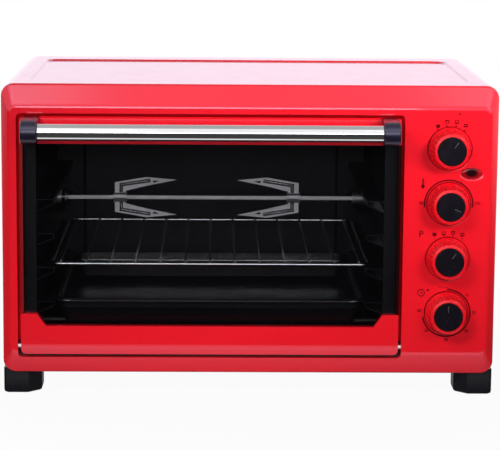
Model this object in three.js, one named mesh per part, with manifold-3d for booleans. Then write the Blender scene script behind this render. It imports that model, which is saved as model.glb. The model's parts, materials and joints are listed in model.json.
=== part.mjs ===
// A bench-top mini oven: red steel housing, drop-down glass door, four turning knobs, rotisserie spit,
// wire rack, baking tray and crumb tray. Millimetres, +Z up, the door looks along -Y.
// Heights count from the surface the feet stand on and depths from the flat front face, positive towards
// the back. At the end the whole oven is moved along Y, so that the origin is under its middle.

import * as THREE from "three";
import { mergeVertices } from "three/addons/utils/BufferGeometryUtils.js";
import Module from "manifold-3d";

const wasm = await Module();
wasm.setup();

// Driving sizes
const bodyWidth = 540;
const bodyHeight = 319;
const bodyDepth = 350;
const footHeight = 25;
const sheet = 1.2; // thickness of the housing's steel sheet
const innerSheet = 1; // thickness of the cooking space's sheet
const seat = 0.3; // clearance between two pieces that touch
const overrun = 1; // how far a cut runs past what it cuts
const weld = 0.001; // vertices closer than this are one vertex

const bodyLeft = -bodyWidth / 2;
const bodyRight = bodyWidth / 2;
const bodyBottom = footHeight;
const bodyTop = footHeight + bodyHeight;

// How finely round shapes are faceted
const cornerSteps = 4;
const holeSides = 16;
const rodSides = 10;
const wireSides = 6;
const turnedSides = 24;
const slotSteps = 2;
const trimSteps = 3;
const slotRoundingShare = 0.999; // of a slot's half width

// Finishes
const finish = {
  redEnamel: new THREE.MeshStandardMaterial({ color: 0xd9151f, roughness: 0.22, metalness: 0.1 }),
  redPlastic: new THREE.MeshStandardMaterial({ color: 0xe01a26, roughness: 0.25, metalness: 0 }),
  blackPlastic: new THREE.MeshStandardMaterial({ color: 0x141416, roughness: 0.5, metalness: 0 }),
  satinBlack: new THREE.MeshStandardMaterial({ color: 0x2a2a2e, roughness: 0.35, metalness: 0.3 }),
  chrome: new THREE.MeshStandardMaterial({ color: 0xdadce0, roughness: 0.08, metalness: 1 }),
  steel: new THREE.MeshStandardMaterial({ color: 0xb4b6b9, roughness: 0.3, metalness: 1 }),
  galvanised: new THREE.MeshStandardMaterial({ color: 0x8b8d90, roughness: 0.5, metalness: 0.9 }),
  blackEnamel: new THREE.MeshStandardMaterial({ color: 0x0d0d0f, roughness: 0.3, metalness: 0.1 }),
  elementSheath: new THREE.MeshStandardMaterial({ color: 0x4a4946, roughness: 0.5, metalness: 0.7 }),
  glass: new THREE.MeshStandardMaterial({ color: 0x101012, roughness: 0.02, metalness: 0 }),
  lampRed: new THREE.MeshStandardMaterial({ color: 0x7a0d08, roughness: 0.1, metalness: 0 }),
  paleMoulding: new THREE.MeshStandardMaterial({ color: 0xd8d4c8, roughness: 0.6, metalness: 0 }),
};

// Solids: every piece is a closed manifold until it is named as a mesh.

function solidOf(geometry) {
  const bare = geometry.clone();
  bare.deleteAttribute("normal");
  bare.deleteAttribute("uv");
  const merged = mergeVertices(bare, weld);
  const corners = new Uint32Array(merged.index.array);
  const shell = { numProp: 3, vertProperties: merged.attributes.position.array, triVerts: corners };
  const solid = new wasm.Manifold(new wasm.Mesh(shell));
  if (solid.volume() > 0) return solid;
  for (let i = 0; i < corners.length; i += 3) {
    [corners[i + 1], corners[i + 2]] = [corners[i + 2], corners[i + 1]];
  }
  return new wasm.Manifold(new wasm.Mesh(shell));
}

function geometryOf(solid) {
  const mesh = solid.getMesh();
  const shared = new THREE.BufferGeometry();
  shared.setAttribute("position", new THREE.BufferAttribute(mesh.vertProperties, 3));
  shared.setIndex(new THREE.BufferAttribute(mesh.triVerts, 1));
  const flat = shared.toNonIndexed();
  flat.computeVertexNormals();
  return flat;
}

function piece(name, solid, material, parent) {
  const mesh = new THREE.Mesh(geometryOf(solid), material);
  mesh.name = name;
  parent.add(mesh);
  return mesh;
}

// Outlines: lists of points, counter-clockwise

function roundRect(left, right, bottom, top, radius, steps = cornerSteps) {
  const corners = [
    [right - radius, top - radius],
    [left + radius, top - radius],
    [left + radius, bottom + radius],
    [right - radius, bottom + radius],
  ];
  const points = [];
  corners.forEach(([x, y], quarter) => {
    for (let i = 0; i <= steps; i++) {
      const angle = ((quarter + i / steps) * Math.PI) / 2;
      points.push(new THREE.Vector2(x + radius * Math.cos(angle), y + radius * Math.sin(angle)));
    }
  });
  return points;
}

function oval(x, y, halfWidth, halfHeight, sides) {
  const points = [];
  for (let i = 0; i < sides; i++) {
    const angle = (i / sides) * 2 * Math.PI;
    points.push(new THREE.Vector2(x + halfWidth * Math.cos(angle), y + halfHeight * Math.sin(angle)));
  }
  return points;
}

function circle(x, y, radius, sides) {
  return oval(x, y, radius, radius, sides);
}

function outline(...pairs) {
  return pairs.map(([x, y]) => new THREE.Vector2(x, y));
}

// A band of even width along a line of points, such as a pressed groove
function band(line, width) {
  const left = [];
  const right = [];
  line.forEach((point, i) => {
    const before = line[Math.max(i - 1, 0)];
    const after = line[Math.min(i + 1, line.length - 1)];
    const into = point.clone().sub(before).normalize();
    const out = after.clone().sub(point).normalize();
    const along = into.add(out).normalize();
    const across = new THREE.Vector2(-along.y, along.x).multiplyScalar(width / 2);
    left.push(point.clone().add(across));
    right.unshift(point.clone().sub(across));
  });
  return [...right, ...left];
}

// Solids from outlines

// An outline swept straight along an axis: its plane is YZ for "x", XZ for "y" and XY for "z".
function prism(axis, points, from, to, holes = []) {
  const shape = new THREE.Shape(points);
  holes.forEach((hole) => shape.holes.push(new THREE.Path(hole)));
  const geometry = new THREE.ExtrudeGeometry(shape, { depth: to - from, bevelEnabled: false });
  const turn = new THREE.Matrix4();
  if (axis === "x") turn.set(0, 0, 1, from, 1, 0, 0, 0, 0, 1, 0, 0, 0, 0, 0, 1);
  if (axis === "y") turn.set(1, 0, 0, 0, 0, 0, -1, to, 0, 1, 0, 0, 0, 0, 0, 1);
  if (axis === "z") turn.makeTranslation(0, 0, from);
  return solidOf(geometry.applyMatrix4(turn));
}

function block(left, right, front, back, bottom, top) {
  const geometry = new THREE.BoxGeometry(right - left, back - front, top - bottom);
  geometry.translate((left + right) / 2, (front + back) / 2, (bottom + top) / 2);
  return solidOf(geometry);
}

// A turned piece: profile points are [radius, place along the axis].
function turned(axis, profile, sides = turnedSides) {
  const geometry = new THREE.LatheGeometry(outline(...profile), sides);
  const turn = new THREE.Matrix4();
  if (axis === "x") turn.set(0, 1, 0, 0, 0, 0, 1, 0, 1, 0, 0, 0, 0, 0, 0, 1);
  if (axis === "z") turn.set(0, 0, 1, 0, 1, 0, 0, 0, 0, 1, 0, 0, 0, 0, 0, 1);
  return solidOf(geometry.applyMatrix4(turn));
}

function ringAt(y, points) {
  return points.map((point) => new THREE.Vector3(point.x, y, point.y));
}

function levelAt(z, points) {
  return points.map((point) => new THREE.Vector3(point.x, point.y, z));
}

// A skin through rings of equally many points. Flat faces close the first and the last ring,
// and a closed skin runs from the last ring back to the first instead.
function loft(rings, closed = false) {
  const count = rings[0].length;
  const positions = rings.flat().flatMap((point) => point.toArray());
  const index = [];
  const bands = closed ? rings.length : rings.length - 1;
  for (let k = 0; k < bands; k++) {
    const near = k * count;
    const far = ((k + 1) % rings.length) * count;
    for (let i = 0; i < count; i++) {
      const j = (i + 1) % count;
      index.push(near + i, near + j, far + j, near + i, far + j, far + i);
    }
  }
  if (!closed) {
    const last = (rings.length - 1) * count;
    for (let i = 1; i < count - 1; i++) {
      index.push(0, i + 1, i, last, last + i, last + i + 1);
    }
  }
  const geometry = new THREE.BufferGeometry();
  geometry.setAttribute("position", new THREE.Float32BufferAttribute(positions, 3));
  geometry.setIndex(index);
  return solidOf(geometry);
}

// A wire bent into a closed level loop
function wireLoop(points, height, radius) {
  const rings = points.map((point, i) => {
    const before = points[(i + points.length - 1) % points.length];
    const after = points[(i + 1) % points.length];
    const along = after.clone().sub(before).normalize();
    const ring = [];
    for (let k = 0; k < wireSides; k++) {
      const angle = (k / wireSides) * 2 * Math.PI;
      const out = radius * Math.cos(angle);
      const up = radius * Math.sin(angle);
      ring.push(new THREE.Vector3(point.x + along.y * out, point.y - along.x * out, height + up));
    }
    return ring;
  });
  return loft(rings, true);
}

function joined(solids) {
  return solids.reduce((sum, solid) => sum.add(solid));
}

function without(solid, cuts) {
  return cuts.reduce((rest, cut) => rest.subtract(cut), solid);
}

// Rows of slots with round ends, as cutters through a sheet that faces the given axis
function slots(axis, centres, halfLength, halfWidth, from, to) {
  const radius = halfWidth * slotRoundingShare;
  return centres.map(([x, y]) =>
    prism(
      axis,
      roundRect(x - halfLength, x + halfLength, y - halfWidth, y + halfWidth, radius, slotSteps),
      from,
      to,
    ),
  );
}

// The oven's groups
const oven = new THREE.Group();
const doorGroup = new THREE.Group();
const cavityGroup = new THREE.Group();
oven.add(doorGroup, cavityGroup);

// Door opening in the front face
const doorGap = 3.4;
const leftBorder = 17; // from the housing's side to the opening
const bottomBorder = 18.3; // from the housing's underside to the opening
const topBorder = 31.4;
const panelWidth = 102.6; // of the control panel, from the opening to the housing's right side
const doorCornerRadius = 5;
const doorWidth = bodyWidth - leftBorder - panelWidth - 2 * doorGap;
const doorHeight = bodyHeight - bottomBorder - topBorder - 2 * doorGap;

const doorCentre = bodyLeft + leftBorder + doorGap + doorWidth / 2;
const openingHalf = doorWidth / 2 + doorGap;
const openingBottom = bodyBottom + bottomBorder;
const openingTop = openingBottom + doorHeight + 2 * doorGap;
const doorBottom = openingBottom + doorGap;
const doorTop = doorBottom + doorHeight;
doorGroup.position.x = doorCentre;
cavityGroup.position.x = doorCentre;

// Knob places on the control panel, from the top down: heating, temperature, programme, time
const knobCount = 4;
const knobPitchShare = 0.1893; // of the housing's height
const topKnobDropShare = 0.2122; // of the housing's height, below its top
const knobInsetShare = 0.5234; // of the panel's width, from the housing's right side
const knobPitch = bodyHeight * knobPitchShare;
const topKnobDrop = bodyHeight * topKnobDropShare;
const knobX = bodyRight - panelWidth * knobInsetShare;
const knobHeights = Array.from({ length: knobCount }, (_, i) => bodyTop - topKnobDrop - i * knobPitch);
const shaftRadius = 3;
const bushRadius = 5;
const bushClearance = 0.5;

// Pilot lamp window in the panel
const lampInsetShare = 0.2856; // of the panel's width, from the housing's right side
const lampDrop = 27.2; // below the upper knob
const lampHalfWidth = 11.4;
const lampHalfHeight = 6.3;
const lampX = bodyRight - panelWidth * lampInsetShare;
const lampZ = knobHeights[0] - lampDrop;

// Front frame: one pressed bezel with sloping edges, a return round the door opening and a tongue
// that slips inside the wrap
const cornerRadius = 14;
const frameWall = 2;
const bevelDepth = 9;
const sideBevel = 9;
const topBevel = 23.5;
const bottomBevel = 24.2;
const faceRadius = 8;
const skirtEnd = 12;
const tongueLength = 12;
const tongueEnd = skirtEnd + tongueLength;
const flangeFront = skirtEnd + frameWall; // where the cooking space's front flange starts
const hingeDepth = 4; // of the door's turning axis behind the front face
const hingeRise = 9.3; // of the axis above the door's lower edge
const hingePinRadius = 2.5;
const hingePinClearance = 0.4;
const hingeHeight = doorBottom + hingeRise;

function bodyRing(inset, radius) {
  return roundRect(bodyLeft + inset, bodyRight - inset, bodyBottom + inset, bodyTop - inset, radius);
}

function faceRing(inset) {
  return roundRect(
    bodyLeft + sideBevel + inset,
    bodyRight - sideBevel - inset,
    bodyBottom + bottomBevel + inset,
    bodyTop - topBevel - inset,
    faceRadius,
  );
}

function openingOutline(grow, radius) {
  return roundRect(
    doorCentre - openingHalf - grow,
    doorCentre + openingHalf + grow,
    openingBottom - grow,
    openingTop + grow,
    radius,
  );
}

function frontFrame() {
  const wrapInset = sheet + seat;
  const innerInset = wrapInset + frameWall;
  const face = ringAt(0, faceRing(0));
  const edge = ringAt(bevelDepth, bodyRing(0, cornerRadius));
  const envelope = loft([face, edge, ringAt(tongueEnd, bodyRing(0, cornerRadius))]);
  const bezel = loft([face, edge, ringAt(skirtEnd, bodyRing(0, cornerRadius))]);
  const tongue = prism("y", bodyRing(wrapInset, cornerRadius - wrapInset), bevelDepth, tongueEnd);
  const hollow = loft([
    ringAt(frameWall, faceRing(frameWall / 2)),
    ringAt(bevelDepth + frameWall, bodyRing(innerInset, cornerRadius - innerInset)),
    ringAt(tongueEnd + overrun, bodyRing(innerInset, cornerRadius - innerInset)),
  ]);
  const returnWall = prism(
    "y",
    openingOutline(frameWall, doorCornerRadius + frameWall),
    0,
    flangeFront - seat,
  ).intersect(envelope);
  const cuts = [prism("y", openingOutline(0, doorCornerRadius), -overrun, tongueEnd)];
  knobHeights.forEach((z) => {
    cuts.push(
      prism("y", circle(knobX, z, bushRadius + bushClearance, holeSides), -overrun, frameWall + overrun),
    );
  });
  cuts.push(
    prism("y", oval(lampX, lampZ, lampHalfWidth, lampHalfHeight, turnedSides), -overrun, frameWall + overrun),
  );
  const pinHole = circle(hingeDepth, hingeHeight, hingePinRadius + hingePinClearance, holeSides);
  const pinHoleReach = openingHalf + frameWall + overrun;
  cuts.push(prism("x", pinHole, doorCentre - pinHoleReach, doorCentre + pinHoleReach));
  return without(bezel.add(tongue).subtract(hollow).add(returnWall), cuts);
}

piece("front_frame", frontFrame(), finish.redEnamel, oven);

// Outer wrap: one sheet bent over both sides and the top, turned in along the bottom,
// with a shallow pressed field on top and cooling slots beside the controls
const wrapFront = skirtEnd + seat;
const wrapTurnIn = 22;
const fieldInset = 27;
const fieldFrontInset = 32;
const fieldBackInset = 36;
const fieldDepth = 1.6;
const fieldSlope = 3;
const fieldRadius = 18;
const slotHalfLength = 24;
const slotHalfWidth = 1.8;
const sideSlotPitch = 15;
const sideSlotCount = 7;
const sideSlotCentreDepthShare = 0.55; // of the body's depth
const sideSlotTopShare = 0.86; // of the body's height
const sideSlotColumns = 2;
const sideSlotColumnPitch = 62;

function wrapProfile(inset) {
  const radius = cornerRadius - inset;
  const left = bodyLeft + inset;
  const right = bodyRight - inset;
  const full = roundRect(left, right, bodyBottom + inset, bodyTop - inset, radius);
  // The list starts at the right side's upper corner; the two bottom corners are its second half.
  const corner = cornerSteps + 1;
  const upperRight = full.slice(0, corner);
  const upperLeft = full.slice(corner, 2 * corner);
  const lowerLeft = full.slice(2 * corner, 3 * corner);
  const lowerRight = full.slice(3 * corner);
  const turnIn = cornerRadius + wrapTurnIn;
  return [
    new THREE.Vector2(bodyRight - turnIn, bodyBottom + inset),
    ...lowerRight,
    ...upperRight,
    ...upperLeft,
    ...lowerLeft,
    new THREE.Vector2(bodyLeft + turnIn, bodyBottom + inset),
  ];
}

function fieldRing(z, shrink) {
  return levelAt(
    z,
    roundRect(
      bodyLeft + fieldInset + shrink,
      bodyRight - fieldInset - shrink,
      wrapFront + fieldFrontInset + shrink,
      bodyDepth - fieldBackInset - shrink,
      fieldRadius - shrink,
    ),
  );
}

function outerWrap() {
  const section = [...wrapProfile(0), ...wrapProfile(sheet).reverse()];
  const bent = prism("y", section, wrapFront, bodyDepth);
  const pan = loft([
    fieldRing(bodyTop - sheet - fieldDepth, fieldSlope - sheet),
    fieldRing(bodyTop - sheet / 2, -sheet / 2),
  ]);
  const pocket = loft([fieldRing(bodyTop - fieldDepth, fieldSlope), fieldRing(bodyTop + sheet, -sheet)]);
  const centres = [];
  for (let column = 0; column < sideSlotColumns; column++) {
    for (let row = 0; row < sideSlotCount; row++) {
      const across = (column - (sideSlotColumns - 1) / 2) * sideSlotColumnPitch;
      centres.push([
        bodyDepth * sideSlotCentreDepthShare + across,
        bodyBottom + bodyHeight * sideSlotTopShare - row * sideSlotPitch,
      ]);
    }
  }
  const vents = slots(
    "x",
    centres,
    slotHalfLength,
    slotHalfWidth,
    bodyRight - sheet - overrun,
    bodyRight + overrun,
  );
  return without(bent.add(pan).subtract(pocket), vents);
}

piece("outer_wrap", outerWrap(), finish.redEnamel, oven);

// Rear panel: a shallow pan inside the end of the wrap, with slots behind the controls
// and the hole for the supply lead's gland
const rearRim = 10;
const rearInset = sheet + seat;
const rearSlotPitch = 15;
const rearSlotRows = 6;
const rearSlotTopShare = 0.86;
const rearSlotInset = 62;
const rearSlotX = bodyRight - rearSlotInset;
const topSlotCount = 5;
const topSlotPitchShare = 0.352; // of the door opening's half width
const topSlotPitch = openingHalf * topSlotPitchShare;
const topSlotDrop = 24;
const glandInset = 62;
const glandRise = 46;
const glandHoleRadius = 7;
const glandX = bodyRight - glandInset;
const glandZ = bodyBottom + glandRise;

function rearPanel() {
  const rim = bodyDepth - sheet - rearRim;
  const plate = prism("y", bodyRing(rearInset, cornerRadius - rearInset), rim, bodyDepth - sheet);
  const inner = rearInset + sheet;
  const hollow = prism(
    "y",
    bodyRing(inner, cornerRadius - inner),
    rim - overrun,
    bodyDepth - 2 * sheet,
  );
  const centres = [];
  for (let row = 0; row < rearSlotRows; row++) {
    centres.push([rearSlotX, bodyBottom + bodyHeight * rearSlotTopShare - row * rearSlotPitch]);
  }
  for (let i = 0; i < topSlotCount; i++) {
    centres.push([doorCentre + (i - (topSlotCount - 1) / 2) * topSlotPitch, bodyTop - topSlotDrop]);
  }
  const vents = slots("y", centres, slotHalfLength, slotHalfWidth, bodyDepth - rearRim, bodyDepth + overrun);
  const glandHole = prism(
    "y",
    circle(glandX, glandZ, glandHoleRadius, holeSides),
    bodyDepth - rearRim,
    bodyDepth + overrun,
  );
  return without(plate.subtract(hollow), [...vents, glandHole]);
}

piece("rear_panel", rearPanel(), finish.galvanised, oven);

// Gland that the supply lead would come out of: a flanged bush, clipped through the rear panel
const glandFlangeRadius = 11;
const glandFlangeThickness = 3;
const glandNoseLength = 9;
const glandNoseRadius = 6.2;
const glandTipRadius = 4.9;
const glandBoreRadius = 3.6;
const glandTailLength = 8;
const rearFace = bodyDepth - sheet;

function supplyGland() {
  const start = rearFace + seat;
  const neck = glandHoleRadius - seat;
  const profile = [
    [glandBoreRadius, rearFace - glandTailLength],
    [neck, rearFace - glandTailLength],
    [neck, start],
    [glandFlangeRadius, start],
    [glandFlangeRadius, start + glandFlangeThickness],
    [glandNoseRadius, start + glandFlangeThickness],
    [glandTipRadius, start + glandNoseLength],
    [glandBoreRadius, start + glandNoseLength],
    [glandBoreRadius, rearFace - glandTailLength],
  ];
  return turned("y", profile, holeSides);
}

piece("supply_gland", supplyGland(), finish.blackPlastic, oven).position.set(glandX, 0, glandZ);

// Base plate on the wrap's turned-in edges
const baseFront = tongueEnd + seat;
const baseBack = bodyDepth - sheet - rearRim - seat;
const baseHalf = bodyWidth / 2 - cornerRadius;
const baseBottom = bodyBottom + sheet + seat;
const baseSlotCount = 5;
const baseSlotPitch = 50;

function basePlate() {
  const plate = block(-baseHalf, baseHalf, baseFront, baseBack, baseBottom, baseBottom + sheet);
  const middle = (baseFront + baseBack) / 2;
  const centres = Array.from({ length: baseSlotCount }, (_, i) => [
    knobX - slotHalfLength,
    middle + (i - (baseSlotCount - 1) / 2) * baseSlotPitch,
  ]);
  return without(
    plate,
    slots("z", centres, slotHalfLength, slotHalfWidth, baseBottom - overrun, baseBottom + sheet + overrun),
  );
}

piece("base_plate", basePlate(), finish.galvanised, oven);

// Feet: moulded blocks flush with the sides, with one slanted inner corner and an ear that
// follows the housing's round lower edge
const footSize = 41;
const footChamfer = 14;
const footEdge = 2;
const footFrontInset = 14;
const footBackInset = 12;
const footEarRise = 4;
const footRounding = 4;
const footSoleShare = 0.86; // of the foot's plan at its sole
const footBellyShare = 0.97; // of the foot's plan where the rounding is steepest
const footHollowShare = 0.86; // of the foot's plan inside its walls
const footSole = 4;
const footPostRadius = 5;
const footScrewRadius = 1.8;

function footPlan(share) {
  const half = footSize / 2;
  const plan = outline(
    [-half + footEdge, -half],
    [half - footChamfer, -half],
    [half, -half + footChamfer],
    [half, half - footEdge],
    [half - footEdge, half],
    [-half + footEdge, half],
    [-half, half - footEdge],
    [-half, -half + footEdge],
  );
  return plan.map((point) => point.multiplyScalar(share));
}

function footSolid() {
  const half = footSize / 2;
  const top = footHeight + footEarRise;
  const moulded = loft([
    levelAt(0, footPlan(footSoleShare)),
    levelAt(footRounding / 3, footPlan(footBellyShare)),
    levelAt(footRounding, footPlan(1)),
    levelAt(top, footPlan(1)),
  ]);
  const housing = roundRect(
    -half - seat,
    bodyWidth,
    footHeight - seat,
    footHeight + bodyHeight,
    cornerRadius,
  );
  const inside = prism("z", footPlan(footHollowShare), footSole, top + overrun);
  const post = prism("z", circle(0, 0, footPostRadius, rodSides), 0, top + overrun);
  const screwHole = prism("z", circle(0, 0, footScrewRadius, wireSides), footSole, top + overrun);
  return without(moulded, [inside.subtract(post), screwHole, prism("y", housing, -footSize, footSize)]);
}

const footGeometry = geometryOf(footSolid());
const feet = [
  ["foot_front_left", 1, 1],
  ["foot_front_right", -1, 1],
  ["foot_rear_left", 1, -1],
  ["foot_rear_right", -1, -1],
];
for (const [name, side, end] of feet) {
  const foot = new THREE.Mesh(footGeometry, finish.blackPlastic);
  foot.name = name;
  const front = footFrontInset + footSize / 2;
  const back = bodyDepth - footBackInset - footSize / 2;
  foot.position.set(side * (bodyLeft + footSize / 2), end > 0 ? front : back, 0);
  foot.scale.set(side, end, 1);
  oven.add(foot);
}

// Cooking space, drawn about the door's centre line
const mouthSideInset = 20.2; // from the door opening to the cooking space
const mouthBottomInset = 10.7;
const mouthTopInset = 20.6;
const backSpace = 12; // from the housing's back edge to the cooking space
const cavityHalf = openingHalf - mouthSideInset;
const cavityBottom = openingBottom + mouthBottomInset;
const cavityTop = openingTop - mouthTopInset;
const flangeMargin = 8; // of the front flange beyond the door opening
const flangeBack = flangeFront + innerSheet;
const wallFront = flangeBack + seat;
const wallBack = bodyDepth - backSpace;
const cavityDepth = wallBack - wallFront;

// Front flange: the flat face that the closed door covers
function cavityFlange() {
  const plate = roundRect(
    -openingHalf - flangeMargin,
    openingHalf + flangeMargin,
    openingBottom - flangeMargin,
    openingTop + flangeMargin,
    cornerRadius,
  );
  const mouth = roundRect(-cavityHalf, cavityHalf, cavityBottom, cavityTop, frameWall);
  return prism("y", plate, flangeFront, flangeBack, [mouth]);
}

piece("cavity_front_flange", cavityFlange(), finish.galvanised, cavityGroup);

// Rack, tray and rotisserie levels
const trayRimRise = 51; // above the cooking space's floor
const trayRimHeight = cavityBottom + trayRimRise;
const trayRimThickness = 1.2;
const levelPitch = 37.7;
const levelCount = 4;
const ribDepth = 19;
const ribHeight = 14;
const ribNose = 6;
const lowestLevel = trayRimHeight - trayRimThickness - seat;
const bearingRadius = 8;
const bearingGap = 0.8; // below the uppermost rib
const spitDepthShare = 0.5259; // of the cooking space's depth
const spitHeight = lowestLevel + (levelCount - 1) * levelPitch - ribHeight - bearingGap - bearingRadius;
const spitDepth = wallFront + cavityDepth * spitDepthShare;
const elementRadius = 3.25;
const elementClearance = 0.4;
const elementFrontShare = 0.247; // of the cooking space's depth
const elementBackShare = 0.7273; // of the cooking space's depth
const lowerElementRise = 12.5; // above the cooking space's floor
const upperElementDrop = 15; // below its roof
const elementFrontDepth = wallFront + cavityDepth * elementFrontShare;
const elementBackDepth = wallFront + cavityDepth * elementBackShare;
const lowerElementHeight = cavityBottom + lowerElementRise;
const upperElementHeight = cavityTop - upperElementDrop;
const socketRadius = 7;
const socketClearance = 0.6;

// Side wall with pressed shelf ribs: the sheet's face and its back, drawn as one closed profile
function wallSection() {
  const rise = ribHeight - ribNose;
  const slopeShift = (innerSheet * (Math.hypot(ribDepth, rise) - rise)) / ribDepth;
  const face = [[0, cavityBottom]];
  const back = [[-innerSheet, cavityBottom]];
  for (let i = 0; i < levelCount; i++) {
    const top = lowestLevel + i * levelPitch;
    face.push([0, top - ribHeight], [ribDepth, top - ribNose], [ribDepth, top], [0, top]);
    back.push(
      [-innerSheet, top - ribHeight + slopeShift],
      [ribDepth - innerSheet, top - ribNose + slopeShift],
      [ribDepth - innerSheet, top - innerSheet],
      [-innerSheet, top - innerSheet],
    );
  }
  face.push([0, cavityTop]);
  back.push([-innerSheet, cavityTop]);
  return [...face, ...back.reverse()];
}

const elementPlaces = [
  [elementFrontDepth, lowerElementHeight],
  [elementBackDepth, lowerElementHeight],
  [elementFrontDepth, upperElementHeight],
  [elementBackDepth, upperElementHeight],
];

function sideWall(side, holes) {
  const section = wallSection().map(([u, z]) => [side * (cavityHalf - u), z]);
  if (side > 0) section.reverse();
  const wall = prism("y", outline(...section), wallFront, wallBack);
  const from = side > 0 ? cavityHalf - overrun : -cavityHalf - innerSheet - overrun;
  const to = from + innerSheet + 2 * overrun;
  return without(
    wall,
    holes.map(([y, z, radius, sides]) => prism("x", circle(y, z, radius, sides), from, to)),
  );
}

const elementHoles = elementPlaces.map(([y, z]) => [y, z, elementRadius + elementClearance, rodSides]);
const socketHole = [spitDepth, spitHeight, socketRadius + socketClearance, holeSides];
piece("cavity_left_wall", sideWall(-1, elementHoles), finish.galvanised, cavityGroup);
piece("cavity_right_wall", sideWall(1, [...elementHoles, socketHole]), finish.galvanised, cavityGroup);

const liner = cavityHalf + innerSheet;
piece(
  "cavity_floor",
  block(-liner, liner, wallFront, wallBack, cavityBottom - seat - innerSheet, cavityBottom - seat),
  finish.galvanised,
  cavityGroup,
);
piece(
  "cavity_roof",
  block(-liner, liner, wallFront, wallBack, cavityTop + seat, cavityTop + seat + innerSheet),
  finish.galvanised,
  cavityGroup,
);

// Rear wall with a pressed frame that stiffens it
const rearPressInset = 34;
const rearPressDepth = 3;
const rearPressRadius = 20;

function cavityRearWall() {
  const plate = roundRect(
    -liner,
    liner,
    cavityBottom - seat - innerSheet,
    cavityTop + seat + innerSheet,
    frameWall,
  );
  const start = wallBack + seat;
  const pressed = (inset) =>
    roundRect(
      -cavityHalf + inset,
      cavityHalf - inset,
      cavityBottom + inset,
      cavityTop - inset,
      rearPressRadius,
    );
  const bump = loft([
    ringAt(start + innerSheet / 2, pressed(rearPressInset - rearPressDepth)),
    ringAt(start + innerSheet + rearPressDepth, pressed(rearPressInset)),
  ]);
  const dish = loft([
    ringAt(start - overrun, pressed(rearPressInset - rearPressDepth)),
    ringAt(start + rearPressDepth, pressed(rearPressInset + innerSheet)),
  ]);
  return prism("y", plate, start, start + innerSheet).add(bump).subtract(dish);
}

piece("cavity_rear_wall", cavityRearWall(), finish.galvanised, cavityGroup);

// Heating elements: sheathed rods with ceramic ends and terminal pins, held in both side walls
const ceramicRadius = 5;
const ceramicLength = 8;
const terminalRadius = 1.6;
const terminalLength = 10;

function heatingElement() {
  const wall = liner + seat;
  const ceramic = wall + ceramicLength;
  const end = ceramic + terminalLength;
  return turned(
    "x",
    [
      [0, -end],
      [terminalRadius, -end],
      [terminalRadius, -ceramic],
      [ceramicRadius, -ceramic],
      [ceramicRadius, -wall],
      [elementRadius, -wall],
      [elementRadius, wall],
      [ceramicRadius, wall],
      [ceramicRadius, ceramic],
      [terminalRadius, ceramic],
      [terminalRadius, end],
      [0, end],
    ],
    rodSides,
  );
}

const elementSolid = heatingElement();
const elementNames = [
  "element_lower_front",
  "element_lower_rear",
  "element_upper_front",
  "element_upper_rear",
];
elementNames.forEach((name, i) => {
  const [y, z] = elementPlaces[i];
  piece(name, elementSolid, finish.elementSheath, cavityGroup).position.set(0, y, z);
});

// Wire rack on the second level: thirteen cross wires over a bent frame rod
const rackSideGap = 13;
const rackFrontGap = 5.7;
const rackBackGap = 7;
const rackHalf = cavityHalf - rackSideGap;
const rackFront = wallFront + rackFrontGap;
const rackBack = wallBack - rackBackGap;
const rackRodRadius = 2.25;
const rackCornerRadius = 16;
const rackWireCount = 13;
const rackWireRadius = 1.3;
const rackWireEdge = 12.9; // from the rack's side to its outermost wire
const rackWirePitch = (2 * (rackHalf - rackWireEdge)) / (rackWireCount - 1);
const wireBite = 0.8; // how far a cross wire is welded into the frame rod
const rackRodHeight = lowestLevel + levelPitch + seat + rackRodRadius;

function wireRack() {
  const rim = wireLoop(
    roundRect(
      -rackHalf + rackRodRadius,
      rackHalf - rackRodRadius,
      rackFront + rackRodRadius,
      rackBack - rackRodRadius,
      rackCornerRadius,
      3,
    ),
    rackRodHeight,
    rackRodRadius,
  );
  const wireHeight = rackRodHeight + rackRodRadius + rackWireRadius - wireBite;
  const solids = [rim];
  for (let i = 0; i < rackWireCount; i++) {
    const x = (i - (rackWireCount - 1) / 2) * rackWirePitch;
    solids.push(
      prism("y", circle(x, wireHeight, rackWireRadius, wireSides), rackFront, rackBack),
    );
  }
  return joined(solids);
}

piece("wire_rack", wireRack(), finish.steel, cavityGroup);

// Baking tray on the lowest level: rolled rim, stepped walls and a flat bottom
const traySideGap = 12;
const trayFrontGap = 0.1;
const trayBackGap = 16;
const trayHalf = cavityHalf - traySideGap;
const trayFront = wallFront + trayFrontGap;
const trayBack = wallBack - trayBackGap;
const trayRibGap = 1.4; // from the tray's walls to the ribs that its rim rests on
const trayRimWidth = ribDepth - traySideGap + trayRibGap;
const trayRimRadius = 24;
const trayStepDrop = 9.5;
const trayStepWidth = 2.5;
const trayDraft = 7; // how far the walls lean in below the step
const trayElementGap = 6.25; // above the lower elements
const trayBottomHeight = lowerElementHeight + elementRadius + trayElementGap;
const trayWall = 1;

function trayRing(z, inset) {
  const radius = Math.max(trayRimRadius - inset, trayRimRadius / 3);
  return levelAt(
    z,
    roundRect(-trayHalf + inset, trayHalf - inset, trayFront + inset, trayBack - inset, radius, 3),
  );
}

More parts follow.
